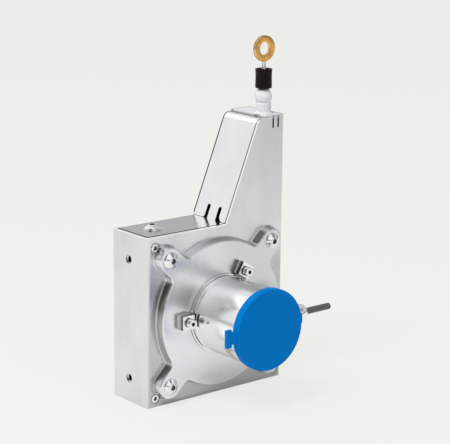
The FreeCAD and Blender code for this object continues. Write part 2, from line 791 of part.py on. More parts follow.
# Drum on its shaft: rim with two flanges, web, and hub that bears on the inner ring
rim_inner = drum_radius - size("drum_rim_thickness")
winding_back = winding_front + winding_width + size("wire_diameter")
drum_back = winding_back + size("drum_flange_thickness")
web_front = bearing_back + size("drum_web_gap")
web_back = web_front + size("drum_web_thickness")
shaft = size("shaft_radius")
flange = size("drum_flange_radius")
turned("drum", [
    (shaft, bearing_back), (shaft + size("bearing_ring_thickness"), bearing_back),
    (shaft + size("bearing_ring_thickness"), web_front), (rim_inner, web_front), (rim_inner, drum_front),
    (flange, drum_front), (flange, winding_front), (drum_radius, winding_front),
    (drum_radius, winding_back), (flange, winding_back), (flange, drum_back), (rim_inner, drum_back),
    (rim_inner, web_back), (size("drum_hub_radius"), web_back), (size("drum_hub_radius"), drum_back),
    (shaft, drum_back),
])
turned("wound_wire", [
    (drum_radius, winding_front + fit), (drum_radius + size("wire_diameter"), winding_front + fit),
    (drum_radius + size("wire_diameter"), winding_back - fit), (drum_radius, winding_back - fit),
])
case_front = back_inner - size("spring_case_depth")
spring_front = case_front + size("spring_case_wall") + size("spring_gap")
spring_back = spring_front + size("spring_width")
shaft_back = spring_back + size("shaft_end")
shaft_front = plateau_inner + size("shaft_inset")
shaft_bore_end = shaft_front + size("coupling_depth")
turned("drum_shaft", [
    (size("encoder_shaft_radius") + fit, shaft_front), (shaft, shaft_front), (shaft, shaft_back),
    (0, shaft_back), (0, shaft_bore_end), (size("encoder_shaft_radius") + fit, shaft_bore_end),
])

# Return spring: a strip wound as a spiral of half circles, between the case and the arbor on the shaft
case = size("spring_case_radius")
case_wall = size("spring_case_wall")
arbor = size("arbor_radius")
turned("spring_case", [
    (arbor + size("arbor_gap"), case_front), (case, case_front), (case, back_inner),
    (case - case_wall, back_inner), (case - case_wall, case_front + case_wall),
    (arbor + size("arbor_gap"), case_front + case_wall),
])
turned("spring_arbor", [(shaft, drum_back), (arbor, drum_back), (arbor, spring_back), (shaft, spring_back)])
spring_thickness = size("spring_thickness")
half_turns = 2 * int(size("spring_turns"))
first_radius = arbor + size("running_gap") + spring_thickness / 2
last_radius = case - case_wall - spring_thickness / 2
half_pitch = (last_radius - first_radius) / half_turns


def spiral_edges(offset):
    """Half circles whose ends meet, each centred half a step to the side of the one before"""
    edges = []
    for k in range(half_turns):
        radius = first_radius + k * half_pitch + half_pitch / 2
        centre = half_pitch / 2 if k % 2 == 0 else -half_pitch / 2
        sign = 1 if k % 2 == 0 else -1
        radius_here = radius + offset
        edges.append(Part.Arc(Vector(centre - sign * radius_here, 0, 0),
                              Vector(centre, 0, sign * radius_here),
                              Vector(centre + sign * radius_here, 0, 0)).toShape())
    return edges


def spiral_strip():
    outer = spiral_edges(spring_thickness / 2)
    inner = spiral_edges(-spring_thickness / 2)
    first_end = Part.LineSegment(outer[0].Vertexes[0].Point, inner[0].Vertexes[0].Point).toShape()
    last_end = Part.LineSegment(outer[-1].Vertexes[-1].Point, inner[-1].Vertexes[-1].Point).toShape()
    wire = Part.Wire(Part.__sortEdges__(outer + inner + [first_end, last_end]))
    return Part.Face(wire).extrude(Vector(0, size("spring_width"), 0))


group("spiral_spring", spiral_strip(), [Placement(Vector(0, spring_front, axis_height), Rotation())])

# Rotary encoder: servo flange with collar, groove and bearing hub
lip_front = plateau - size("encoder_lip")
groove_front = lip_front - size("encoder_groove_width")
ring_front = groove_front - size("encoder_ring_width")
can_inner = size("encoder_can_radius") - size("encoder_can_wall")
encoder_width = size("encoder_bearing_width")
bearing_pair = 2 * encoder_width + size("shaft_inset")
hub_front = ring_front - bearing_pair - size("shaft_inset")
encoder_shaft = size("encoder_shaft_radius")
shaft_hole = encoder_shaft + size("running_gap")
encoder_bearing = size("encoder_bearing_radius")
encoder_hub = encoder_bearing + size("encoder_hub_wall")
skirt_front = ring_front - size("encoder_skirt_length")
skirt_inner = can_inner - size("encoder_skirt_wall")
turned("encoder_flange", [
    (shaft_hole, plateau_inner - fit), (size("collar_radius"), plateau_inner - fit),
    (size("collar_radius"), plateau), (size("encoder_radius"), plateau), (size("encoder_radius"), lip_front),
    (size("encoder_groove_radius"), lip_front), (size("encoder_groove_radius"), groove_front),
    (size("encoder_ring_radius"), groove_front), (size("encoder_ring_radius"), ring_front),
    (can_inner - fit, ring_front), (can_inner - fit, skirt_front), (skirt_inner, skirt_front),
    (skirt_inner, ring_front), (encoder_hub, ring_front), (encoder_hub, hub_front),
    (encoder_bearing, hub_front), (encoder_bearing, ring_front), (shaft_hole, ring_front),
])
can_end = ring_front - size("encoder_can_length")
can = size("encoder_can_radius")
encoder_body = turned("encoder_body", [
    (can_inner, ring_front), (can, ring_front), (can, can_end), (can_inner, can_end)])
gland_stub = size("gland_stub_radius")
cable_hole = new_sketch(encoder_body, "YZ_Plane", outside)
gland_y = can_end + size("gland_inset")
draw_circle(cable_hole, gland_y, 0, gland_stub)
pocket(encoder_body, cable_hole, outside)

# End cap: blue moulding that is pushed on, with a pull tab on the left and a nub on the right
cap_radius = size("cap_radius")
cap_face = can_end - size("cap_thickness")
cap_back = can_end + size("cap_overlap")
edge = size("cap_edge_radius")
plug = can_inner - fit
plug_end = can_end + size("cap_plug_depth")
plug_wall = size("cap_plug_wall")
encoder_cap = turned("encoder_cap", [
    (0, cap_face), (cap_radius - edge, cap_face), (cap_radius, cap_face + edge),
    (cap_radius, cap_back), (can + fit, cap_back), (can + fit, can_end), (plug, can_end),
    (plug, plug_end), (plug - plug_wall, plug_end), (plug - plug_wall, can_end - plug_wall),
    (0, can_end - plug_wall),
])
tab_half = size("cap_tab_height") / 2
tab_front = cap_face + edge
tab_sketch = front_sketch(encoder_cap, tab_front)
bar_x = -size("cap_tab_reach")
bar_width = size("cap_tab_width")
tab_root = size("cap_tab_root")
draw_outline(tab_sketch, [
    (bar_x, -tab_half + 1, bar_x + 1 - soft, -tab_half + 1 - soft), (bar_x, tab_half - 1),
    (bar_x + 1, tab_half, bar_x + 1 - soft, tab_half - 1 + soft),
    (bar_x + bar_width, tab_half), (tab_root - cap_radius, tab_half - tab_root / 2),
    (tab_root - cap_radius, tab_root / 2 - tab_half), (bar_x + bar_width, -tab_half),
    (bar_x + 1, -tab_half),
])
draw_rectangle(tab_sketch, (cap_radius - tab_root, -tab_half), (size("cap_nub_reach"), tab_half))
pad(encoder_cap, tab_sketch, "Sizes.cap_tab_thickness", backwards=True)

# Servo clamps: small blocks whose claws reach into the flange's groove
claw_back = lip_front
claw_front = lip_front - size("clamp_claw_thickness")
clamp_front = plateau - size("clamp_height")
inner = size("clamp_inner_radius")
outer = size("clamp_outer_radius")
claw = size("encoder_groove_radius") + 0.3
clamp_face = Part.Face(Part.makePolygon([Vector(r, y, -size("clamp_width") / 2) for r, y in (
    (inner, plateau), (outer, plateau), (outer, clamp_front), (inner, clamp_front), (inner, claw_front),
    (claw, claw_front), (claw, claw_back), (inner, claw_back), (inner, plateau))]))
clamp = clamp_face.extrude(Vector(0, 0, size("clamp_width")))
clamp = clamp.cut(tube(size("clamp_screw_radius") + seam, 0, outside,
                       Vector(size("clamp_screw_reach"), -outside, 0)))
clamp_screw = socket_screw(size("clamp_screw_head_radius"), size("clamp_screw_head_height"),
                           size("clamp_screw_radius"), spider_back - clamp_front - 0.5, 3.0)
clamp_screw.translate(Vector(size("clamp_screw_reach"), clamp_front, 0))
round_axis = [Placement(Vector(0, 0, axis_height), Rotation(Vector(0, 1, 0), -angle)) for angle in clamp_angles]
group("servo_clamps", clamp, round_axis)
group("clamp_screws", clamp_screw, round_axis)

# Inside the encoder: bearings, shaft, code disc and its scanning
bearing_rings("encoder_bearing", encoder_shaft, encoder_bearing, encoder_width, 1.6,
              [ring_front - encoder_width, ring_front - bearing_pair])
disc_seat = hub_front - size("disc_gap")
disc = size("code_disc_thickness")
disc_hub = size("disc_hub_radius")
turned("encoder_shaft", [
    (0, shaft_bore_end - 1), (encoder_shaft, shaft_bore_end - 1), (encoder_shaft, disc_seat - 5), (0, disc_seat - 5)])
turned("disc_hub", [
    (encoder_shaft, hub_front - 0.5), (encoder_shaft + 1.4, hub_front - 0.5), (encoder_shaft + 1.4, disc_seat + 0.5),
    (disc_hub, disc_seat + 0.5), (disc_hub, disc_seat), (encoder_shaft + 1.8, disc_seat),
    (encoder_shaft + 1.8, disc_seat - disc - 1.5), (encoder_shaft, disc_seat - disc - 1.5)])
turned("code_disc", [
    (encoder_shaft + 1.8, disc_seat), (size("code_disc_radius"), disc_seat),
    (size("code_disc_radius"), disc_seat - disc), (encoder_shaft + 1.8, disc_seat - disc)])
board_back = disc_seat - disc - size("board_gap")
board_radius = can_inner - size("board_margin")
board = size("board_thickness")
turned("circuit_board", [
    (disc_hub, board_back), (board_radius, board_back), (board_radius, board_back - board),
    (disc_hub, board_back - board)])
post_radius = size("board_post_radius")
board_post_reach = skirt_inner + post_radius + fit
board_post = tube(post_radius, 0, skirt_front - board_back, Vector(board_post_reach, board_back, 0))
board_angles = (30, 150, 270)
group("board_posts", board_post, [Placement(Vector(0, 0, axis_height), Rotation(Vector(0, 1, 0), -angle))
                                  for angle in board_angles])
read_width = size("read_head_width")
read_height = size("read_head_height")
read_head = Part.makeBox(read_width, size("board_gap") - size("read_head_gap"), read_height,
                         Vector(-read_width / 2, board_back, size("code_disc_radius") - read_height))
group("read_head", read_head, [on_axis])

# Cable gland on the can's right side, and the cut cable that leaves it
gland_place = Placement(Vector(0, gland_y, axis_height), Rotation(Vector(0, 0, 1), -90))
hex_end = can + size("gland_hex_length")
thread_end = hex_end + size("gland_thread_length")
gland_end = can + size("gland_length")
cable = size("cable_radius")
thread = size("gland_nut_radius") - 1.7
gland_body = lathe([(cable + 0.3, can_inner - 1.5), (gland_stub - fit, can_inner - 1.5),
                    (gland_stub - fit, can), (gland_stub, can), (gland_stub, hex_end), (thread, hex_end),
                    (thread, thread_end), (cable + 0.3, thread_end)])
gland_body = gland_body.fuse(hex_prism(size("gland_flats"), size("gland_hex_length"), can).cut(
    tube(cable + 0.3, 0, outside))).removeSplitter()
group("gland_body", gland_body, [gland_place])
nut_start = hex_end + size("gland_nut_gap")
nut_radius = size("gland_nut_radius")
dome_start = gland_end - size("gland_dome_length")
seal_end = dome_start + 1.0
group("gland_nut", lathe([
    (thread + fit, nut_start), (nut_radius, nut_start), (nut_radius, dome_start),
    (0.72 * nut_radius + 0.28 * cable, gland_end - 1.6), (cable + 1.1, gland_end),
    (cable + 0.3, gland_end), (cable + 0.3, seal_end + 1.2), (thread + fit, seal_end)]), [gland_place])
seal_start = thread_end + 2 * fit
group("gland_seal", tube(thread - 0.4, cable + fit, seal_end - seal_start - 2 * fit,
                         Vector(0, seal_start, 0)), [gland_place])
cable_start = gland_end - size("cable_grip")
cable_length = size("cable_grip") + size("cable_visible")
group("cable", tube(cable, 0, cable_length, Vector(0, cable_start, 0)), [gland_place])
print("cable: straight, volume", parts[-1].Shape.Volume, "section times length",
      math.pi * cable ** 2 * cable_length)

# Wire nozzle: white plastic block in the tower's mouth, with neck and ball, guide bush and wiper
wire_foot = Placement(Vector(wire_x, wire_y, 0), Rotation())
nozzle = new_body("wire_nozzle", wire_foot)
plate_bottom = tower_top - size("nozzle_plate_depth")
plate_sketch = new_sketch(nozzle, "XY_Plane", plate_bottom)
draw_rectangle(plate_sketch, (size("tower_roll_end_x") + seam - wire_x, front_inner - wire_y),
               (half_width - sheet - wire_x, back_inner - wire_y))
pad(nozzle, plate_sketch, "Sizes.nozzle_plate_depth")
neck = size("nozzle_neck_radius")
ball = size("nozzle_ball_radius")
ball_z = tower_top + size("nozzle_ball_height")
ball_top = ball_z + 0.96 * ball
spigot_bottom = plate_bottom - size("nozzle_spigot_length")
spigot = size("guide_radius") + 3.0
neck_meets_ball = ball_z - math.sqrt(ball ** 2 - neck ** 2)
mouth = ball * math.sqrt(1 - 0.96 ** 2)
form = new_sketch(nozzle, "XZ_Plane")
draw_outline(form, [
    (0, spigot_bottom), (spigot, spigot_bottom), (spigot, plate_bottom + 1), (neck + 1.2, plate_bottom + 1),
    (neck + 1.2, tower_top), (neck, tower_top + 1.2), (neck, neck_meets_ball),
    (mouth, ball_top, ball, ball_z), (0, ball_top)])
revolve(nozzle, form, "V_Axis")
doc.recompute()
guide = size("guide_radius")
bore = size("nozzle_bore_radius")
guide_bottom = tower_top - 3.0 - size("guide_length")
bores = new_sketch(nozzle, "XZ_Plane")
draw_outline(bores, [
    (0, spigot_bottom - 1), (guide + fit, spigot_bottom - 1), (guide + fit, guide_bottom + size("guide_length")),
    (bore, guide_bottom + size("guide_length")), (bore, ball_top - 1.2), (bore + 0.7, ball_top + 1),
    (0, ball_top + 1)])
hollowed = nozzle.newObject("PartDesign::Groove", "nozzle_bores")
hollowed.Profile = bores
hollowed.ReferenceAxis = (bores, ["V_Axis"])
hollowed.Angle = 360.0
guide_bore = wire_radius + size("running_gap")
turned("wire_guide", [
    (guide_bore + 1.0, guide_bottom), (guide, guide_bottom), (guide, guide_bottom + size("guide_length")),
    (guide_bore + 1.0, guide_bottom + size("guide_length")),
    (guide_bore, guide_bottom + size("guide_length") - 1.5), (guide_bore, guide_bottom + 1.5)],
    wire_foot, "XZ_Plane")
turned("wire_wiper", [
    (guide_bore, guide_bottom - size("wiper_length")), (guide, guide_bottom - size("wiper_length")),
    (guide, guide_bottom), (guide_bore, guide_bottom)], wire_foot, "XZ_Plane")

# Wire end: stopper on the nozzle, crimp, and the wire's loop round a grooved eyelet
stopper_bottom = ball_top + size("stopper_gap")
stopper_top = stopper_bottom + size("stopper_length")
stopper = size("stopper_radius")
crimp = size("crimp_radius")
crimp_top = stopper_top + 0.6
crimp_bottom = crimp_top - size("crimp_length")
stopper_bore = wire_radius + fit
dish = size("stopper_dish")
turned("wire_stopper", [
    (stopper_bore, stopper_bottom), (stopper - 0.5, stopper_bottom), (stopper, stopper_bottom + 0.5),
    (stopper - 0.4, stopper_top - 1.6), (stopper, stopper_top), (stopper - 1.0, stopper_top),
    (stopper - 2.2, stopper_top - dish), (crimp, stopper_top - dish), (crimp, crimp_bottom),
    (stopper_bore, crimp_bottom)],
    wire_foot, "XZ_Plane")
winding_clear = drum_radius + size("wire_diameter") + size("running_gap")
wire_bottom = axis_height + math.sqrt(winding_clear ** 2 - drum_radius ** 2)
turned("measuring_wire", [(0, wire_bottom), (wire_radius, wire_bottom), (wire_radius, crimp_bottom), (0, crimp_bottom)],
       wire_foot, "XZ_Plane")
turned("crimp_sleeve", [(0, crimp_bottom), (crimp, crimp_bottom), (crimp, crimp_top), (0, crimp_top)],
       wire_foot, "XZ_Plane")
eye = size("eyelet_radius")
eye_half = size("eyelet_thickness") / 2
loop_wire = size("loop_wire_radius")
groove_floor = eye - 2 * loop_wire
eyelet_height = stopper_top + size("eyelet_rise")
eyelet_place = Placement(Vector(wire_x, wire_y, eyelet_height), Rotation())
groove_half = loop_wire + fit
turned("ring_terminal", [
    (size("eyelet_hole_radius"), -eye_half), (eye, -eye_half), (eye, -groove_half),
    (groove_floor, -groove_half), (groove_floor, groove_half), (eye, groove_half), (eye, eye_half),
    (size("eyelet_hole_radius"), eye_half)], eyelet_place)
loop_radius = groove_floor + loop_wire
crimp_drop = eyelet_height - crimp_top
leg_x = crimp - loop_wire
leg_angle = math.acos(loop_radius / math.hypot(crimp_drop, leg_x)) - math.atan2(leg_x, crimp_drop)
leg_turn = math.degrees(leg_angle)
loop = Part.makeTorus(loop_radius, loop_wire, Vector(0, 0, 0), Vector(0, 0, 1), -180, 180,
                      360 - 2 * leg_turn)
loop.rotate(Vector(0, 0, 0), Vector(0, 0, 1), leg_turn - 90)
loop.rotate(Vector(0, 0, 0), Vector(1, 0, 0), 90)
for side in (-1, 1):
    touch_point = Vector(side * loop_radius * math.sin(leg_angle), 0, -loop_radius * math.cos(leg_angle))
    leg = Vector(side * leg_x, 0, -crimp_drop) - touch_point
    loop = loop.fuse(tube(loop_wire, 0, leg.Length + loop_wire, touch_point, leg))
under = Part.makeBox(2 * crimp, 2 * crimp, crimp, Vector(-crimp, -crimp, -crimp_drop - crimp))
group("wire_loop", loop.cut(under), [eyelet_place])

doc.recompute()
os.makedirs("parts", exist_ok=True)
for item in doc.Objects:
    if "Invalid" in item.State or "Error" in item.State:
        raise RuntimeError("%s did not compute: %s" % (item.Name, item.State))
for item in parts:
    shape = item.Shape
    if shape.isNull() or not shape.isValid() or shape.Volume <= 0:
        raise RuntimeError("%s has no valid shape" % item.Label)
for item in parts:
    item.Shape.exportStep("parts/%s.step" % item.Label)
print(len(parts), "pieces written")
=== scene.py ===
import bmesh
import bpy
import json
import math
from mathutils import Matrix, Vector


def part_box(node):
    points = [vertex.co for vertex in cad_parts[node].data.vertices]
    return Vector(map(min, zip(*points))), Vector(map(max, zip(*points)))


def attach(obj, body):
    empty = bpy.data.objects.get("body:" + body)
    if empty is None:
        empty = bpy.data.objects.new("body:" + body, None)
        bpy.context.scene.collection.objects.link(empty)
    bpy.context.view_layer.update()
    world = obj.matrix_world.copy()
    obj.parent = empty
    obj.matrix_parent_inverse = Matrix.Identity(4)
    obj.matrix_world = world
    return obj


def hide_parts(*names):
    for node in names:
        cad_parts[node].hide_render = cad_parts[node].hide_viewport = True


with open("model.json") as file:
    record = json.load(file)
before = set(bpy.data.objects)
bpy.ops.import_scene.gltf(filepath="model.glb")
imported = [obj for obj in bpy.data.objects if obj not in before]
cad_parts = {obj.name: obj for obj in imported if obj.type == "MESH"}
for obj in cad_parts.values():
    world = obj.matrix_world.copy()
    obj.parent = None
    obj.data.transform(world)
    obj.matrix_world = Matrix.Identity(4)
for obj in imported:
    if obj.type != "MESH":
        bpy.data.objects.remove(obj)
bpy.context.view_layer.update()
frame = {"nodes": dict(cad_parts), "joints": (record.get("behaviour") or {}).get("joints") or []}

# Camera: a long lens from the front left and a little above, as a catalogue picture is taken.
# The housing fills the lower half of the frame and the eyelet stands near its top.
scene = bpy.context.scene
camera = bpy.data.objects.new("camera", bpy.data.cameras.new("camera"))
camera.data.lens = 132
camera.data.sensor_width = 36
camera.data.clip_start = 0.01
right = Vector((0.77555, -0.63121, 0.00974))
upward = Vector((0.14166, 0.18905, 0.97170))
forward = Vector((0.61519, 0.75222, -0.23603))
turned_to = Matrix((right, upward, -forward)).transposed().to_4x4()
camera_place = Vector((-0.75103, -0.94822, 0.42292))
camera.matrix_world = Matrix.Translation(camera_place) @ turned_to
scene.collection.objects.link(camera)
scene.camera = camera
scene.view_settings.view_transform = "Standard"


# Front cover: one sheet of brushed stainless steel, 1.5 mm thick and folded back at both sides.
# The circle with four arms is deep drawn out of it, and the tower's front wall belongs to it.
# The two classes that write materials stand here, with the first piece that needs them.
MM = 0.001


class Signal:
    """One value in a material; Python's operators on it add Math nodes"""

    def __init__(self, finish, socket):
        self.finish = finish
        self.socket = socket

    def math(self, operation, *others):
        values = dict(enumerate((self,) + others))
        return self.finish.node("ShaderNodeMath", {"operation": operation}, values)

    def __add__(self, other):
        return self.math("ADD", other)

    def __sub__(self, other):
        return self.math("SUBTRACT", other)

    def __rsub__(self, other):
        return self.math("MULTIPLY", -1.0).math("ADD", other)

    def __mul__(self, other):
        return self.math("MULTIPLY", other)

    __radd__ = __add__
    __rmul__ = __mul__

    def between(self, low, high):
        """0 below low and 1 above high, with a soft step"""
        return self.finish.node("ShaderNodeMapRange", {"interpolation_type": "SMOOTHSTEP"},
                                {0: self, 1: low, 2: high})


class Finish:
    """A material, or the world, whose nodes all come from one method"""

    def __init__(self, name, owner=None):
        self.material = owner or bpy.data.materials.new(name)
        self.material.use_nodes = True
        self.tree = self.material.node_tree
        self.tree.nodes.clear()
        self.place = self.node("ShaderNodeTexCoord", output="Object")

    def node(self, kind, settings=None, sockets=None, output=0):
        made = self.tree.nodes.new(kind)
        for name, value in (settings or {}).items():
            setattr(made, name, value)
        for name, value in (sockets or {}).items():
            if isinstance(value, Signal):
                self.tree.links.new(value.socket, made.inputs[name])
            else:
                made.inputs[name].default_value = value
        return Signal(self, made.outputs[output]) if made.outputs else None

    def noise(self, scale, detail=3.0, roughness=0.5):
        """Noise on object coordinates; three scales stretch it along the axes"""
        spread = self.node("ShaderNodeMapping", {}, {"Vector": self.place, "Scale": scale})
        return self.node("ShaderNodeTexNoise", {}, {"Vector": spread, "Scale": 1.0, "Detail": detail,
                                                   "Roughness": roughness})

    def axis(self, name):
        """One coordinate of the place that the finish reads"""
        return self.node("ShaderNodeSeparateXYZ", {}, {0: self.place}, name)

    def millimetres(self, name):
        return self.axis(name) * (1 / MM)

    def ray(self, kind):
        """1 on rays of one kind and 0 on the others"""
        return self.node("ShaderNodeLightPath", output="Is %s Ray" % kind)

    def mix(self, amount, first, second):
        """A blend of two colours"""
        return self.node("ShaderNodeMix", {"data_type": "RGBA"}, {0: amount, 6: first, 7: second}, 2)

    def bump(self, height, strength):
        """Relief of a fifth of a millimetre at full strength"""
        return self.node("ShaderNodeBump", {}, {"Height": height, "Strength": strength, "Distance": 0.2 * MM})

    def shade(self, **sockets):
        """The shader at the end; its sockets are named with underscores"""
        named = {name.replace("_", " "): value for name, value in sockets.items()}
        shader = self.node("ShaderNodeBsdfPrincipled", {}, named)
        self.node("ShaderNodeOutputMaterial", {}, {"Surface": shader})
        return self.material


def grey(level, warmth=0.0):
    """A colour near grey; warmth shifts it from blue to red"""
    return (level * (1 + warmth), level, level * (1 - warmth), 1.0)


def brushed_steel(name, level, scale, roughness, cloud=0.06, bump=0.12, painted_light_and_shade=None):
    """Stainless sheet with a fine grain; scale is the grain's fineness along each axis.
    The last argument takes the finish and its colour and returns it with painted light and shade."""
    steel = Finish(name)
    grain = steel.noise(scale, 4.0, 0.65)
    clouds = steel.noise((28.0, 28.0, 16.0), 3.0)
    wiped = steel.noise((60.0, 60.0, 9.0), 2.0)
    tone = grain * 0.35 + clouds * 0.65
    colour = steel.mix(tone.between(0.3, 0.7), grey(level * (1 - cloud), -0.012),
                       grey(level * (1 + cloud), -0.004))
    if painted_light_and_shade:
        colour = painted_light_and_shade(steel, colour)
    return steel.shade(Base_Color=colour, Metallic=1.0,
                       Roughness=wiped * 0.10 + grain * 0.10 + (roughness - 0.10),
                       Normal=steel.bump(grain, bump))


def middle_of(node):
    """The middle of a solid's box in millimetres, to a hundredth"""
    low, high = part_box(node)
    return Vector(round(part / MM, 2) for part in (low + high) / 2)


lowest, highest = (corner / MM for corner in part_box("front_cover"))
half_width = round(highest.x, 2)
back = round(highest.y, 2)
front = -back
plateau = round(lowest.y, 2)
tower_top = round(highest.z, 2)
axis_z = round(frame["joints"][0]["pos_m"][2] / MM, 2)
box_top = 130.0
sheet = 1.5


def edges_of(geometry):
    return [item for item in geometry if isinstance(item, bmesh.types.BMEdge)]


def verts_of(geometry):
    return [item for item in geometry if isinstance(item, bmesh.types.BMVert)]


def with_ends(edges):
    """Edges and their vertices, as a spin takes them"""
    return edges + list(dict.fromkeys(vert for edge in edges for vert in edge.verts))


def chain(bm, points, closed=False):
    """New vertices joined one after another by edges"""
    verts = [bm.verts.new(point) for point in points]
    ends = verts[1:] + verts[:1] if closed else verts[1:]
    return verts, [bm.edges.new(pair) for pair in zip(verts, ends)]


def sweep(bm, geometry, centre, axis, angle, steps):
    """Spins geometry about an axis by an angle in degrees and returns what it reaches"""
    return bmesh.ops.spin(bm, geom=geometry, cent=centre, axis=axis, angle=math.radians(angle), steps=steps,
                          use_merge=False)["geom_last"]


def push(bm, edges, by):
    """Extrudes edges along a straight line and returns the edges reached"""
    reached = bmesh.ops.extrude_edge_only(bm, edges=edges)["geom"]
    bmesh.ops.translate(bm, verts=verts_of(reached), vec=by)
    return edges_of(reached)


def ring(bm, radius, place, steps=48):
    """The edges of a circle; its plane is turned by the place's matrix"""
    made = bmesh.ops.create_circle(bm, segments=steps, radius=radius, matrix=place)["verts"]
    return list(dict.fromkeys(edge for vert in made for edge in vert.link_edges))


def open_edges(bm, accept):
    """The edges at the sheet's open borders whose two ends are both accepted"""
    return [edge for edge in bm.edges
            if len(edge.link_faces) == 1 and all(accept(vert.co) for vert in edge.verts)]


def facing(x, y, z):
    """A place whose own axis points to the front"""
    return Matrix.Translation((x, y, z)) @ Matrix.Rotation(math.pi / 2, 4, "X")


def merge(bm, reach=0.001):
    bmesh.ops.remove_doubles(bm, verts=bm.verts, dist=reach)


def to_object(bm, name, smooth=32.0):
    """A linked object from a mesh in millimetres, smooth except at sharp edges and round flat faces"""
    straight_area = 5 * MM * MM
    leaning_area = 300 * MM * MM
    bmesh.ops.transform(bm, matrix=Matrix.Scale(MM, 4), verts=bm.verts)
    mesh = bpy.data.meshes.new(name)
    bm.to_mesh(mesh)
    bm.free()
    mesh.shade_smooth()
    mesh.set_sharp_from_angle(angle=math.radians(smooth))
    for face in mesh.polygons:
        straight = max(abs(part) for part in face.normal) > 0.999999
        if face.area > (straight_area if straight else leaning_area):
            for corner in face.loop_indices:
                mesh.edges[mesh.loops[corner].edge_index].use_edge_sharp = True
    made = bpy.data.objects.new(name, mesh)
    scene.collection.objects.link(made)
    return made


def settle(made, material, body, slot, *nodes):
    """Gives a piece its material, the body that it rides on and the solids that it stands for"""
    made.data.materials.append(material)
    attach(made, body)
    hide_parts(*nodes)


def cutter(radius, depth, place, segments=48):
    """A round or many-sided cutter, centred on a place and lying along its axis"""
    bm = bmesh.new()
    bmesh.ops.create_cone(bm, cap_ends=True, segments=segments, radius1=radius, radius2=radius, depth=depth,
                          matrix=place)
    return to_object(bm, "cutter")


def carve(made, *cutters):
    """Cuts other objects out of one and removes them"""
    for tool in cutters:
        modifier = made.modifiers.new("carve", "BOOLEAN")
        modifier.operation = "DIFFERENCE"
        modifier.solver = "EXACT"
        modifier.object = tool
    cut = bpy.data.meshes.new_from_object(made.evaluated_get(bpy.context.evaluated_depsgraph_get()))
    made.modifiers.clear()
    made.data = cut
    for tool in cutters:
        bpy.data.objects.remove(tool)
    made.data.set_sharp_from_angle(angle=math.radians(32))
    return made


emboss_radius = 56.9
emboss_run = 1.2
foot_round = 0.7
edge_round = 1.1
foot_flat = 0.12
crown_flat = 0.4
arm_radius = 10.5
arm_fillet = 3.8
arm_reach = 48.4
collar_radius = 18.2
lean = math.degrees(math.atan2(front - plateau, emboss_run))
foot = foot_round * math.tan(math.radians(lean / 2))
edge = edge_round * math.tan(math.radians(lean / 2))
across = Vector((0, -1, 0))
diagonal = math.sqrt(0.5)
side = arm_radius + arm_fillet
along = math.sqrt((emboss_radius + arm_fillet) ** 2 - side ** 2)
spread = math.degrees(math.atan2(side, along))
reach = arm_reach / diagonal


def wall_point(inside, y):
    """A point straight under the axis, at a distance inside the drawn circle"""
    return Vector((0, y, axis_z - (emboss_radius - inside)))


def wall_section(bm):
    """The drawn wall's section, rounded where it leaves the flat sheet and where it meets the plateau"""
    top = emboss_run + edge
    low = chain(bm, [wall_point(-foot - foot_flat, front), wall_point(-foot, front)])[0][1]
    rise = sweep(bm, [low], wall_point(-foot, front - foot_round), (1, 0, 0), lean, 5)
    high = chain(bm, [wall_point(top + crown_flat, plateau), wall_point(top, plateau)])[0][1]
    roll = sweep(bm, [high], wall_point(top, plateau + edge_round), (1, 0, 0), lean, 6)
    bm.edges.new(verts_of(rise + roll))
    return list(bm.verts) + list(bm.edges)


def on_arm(u, v):
    """A point along and across the lower right arm"""
    return Vector((diagonal * (u + v), front, axis_z - diagonal * (u - v)))


def moulding_quarter(bm):
    """Takes the section round a quarter: the circle, a fillet, along the arm, round its end and back"""
    middle = Vector((0, front, axis_z))
    moves = ((middle, 45 - spread, 14), (on_arm(along, -side), spread - 90, 10), (None, reach - along, 1),
             (on_arm(reach, 0), 180, 24), (None, along - reach, 1), (on_arm(along, side), spread - 90, 10),
             (middle, 45 - spread, 14))
    section = wall_section(bm)
    for centre, amount, steps in moves:
        if centre is None:
            section = with_ends(push(bm, edges_of(section), (diagonal * amount, 0, -diagonal * amount)))
        else:
            section = sweep(bm, section, centre, across, amount, steps)
    merge(bm)


skin = bmesh.new()
moulding_quarter(skin)
bmesh.ops.spin(skin, geom=list(skin.verts) + list(skin.edges) + list(skin.faces), cent=(0, 0, axis_z),
               axis=across, angle=math.radians(270), steps=3, use_duplicate=True)
merge(skin, 0.01)
foot_loop = open_edges(skin, lambda place: abs(place.y - front) < 0.001)
crown_loop = open_edges(skin, lambda place: abs(place.y - plateau) < 0.001)
collar = ring(skin, collar_radius, facing(0, plateau, axis_z), 64)
bmesh.ops.triangle_fill(skin, edges=crown_loop + collar, use_beauty=True, normal=across)

slope_foot = 9.0
slope_top = 39.9
lip_level = 206.8
roll_radius = 7.0
slope_angle = math.atan2(lip_level - box_top, slope_top - slope_foot)
roll_centre = Vector((slope_top + roll_radius * math.tan(slope_angle / 2), front, lip_level - roll_radius))
roll_start = roll_centre + roll_radius * Vector((-math.sin(slope_angle), 0, math.cos(slope_angle)))
slit_low = 198.4
slit_width = 1.5
bend_radius = 3.0
bend_start = half_width - bend_radius - 0.05
step_foot = 49.2
step_top = 50.4
border = [(step_foot, lip_level), (step_top, tower_top)]
for slit in (53.5, 58.5):
    near = slit - slit_width / 2
    far = slit + slit_width / 2
    border += [(near, tower_top), (near, slit_low), (far, slit_low), (far, tower_top)]
border += [(bend_start, tower_top), (bend_start, 0), (-bend_start, 0), (-bend_start, box_top),
           (slope_foot, box_top), (roll_start.x, roll_start.z)]
outline, outline_edges = chain(skin, [(x, front, z) for x, z in border])
edges_before = set(skin.edges)
tip = verts_of(sweep(skin, [outline[-1]], roll_centre, (0, 1, 0), math.degrees(slope_angle), 12))[0]
skin.edges.new((tip, outline[0]))
roll_edges = [item for item in skin.edges if item not in edges_before]
bmesh.ops.triangle_fill(skin, edges=foot_loop + outline_edges + roll_edges, use_beauty=True, normal=across)
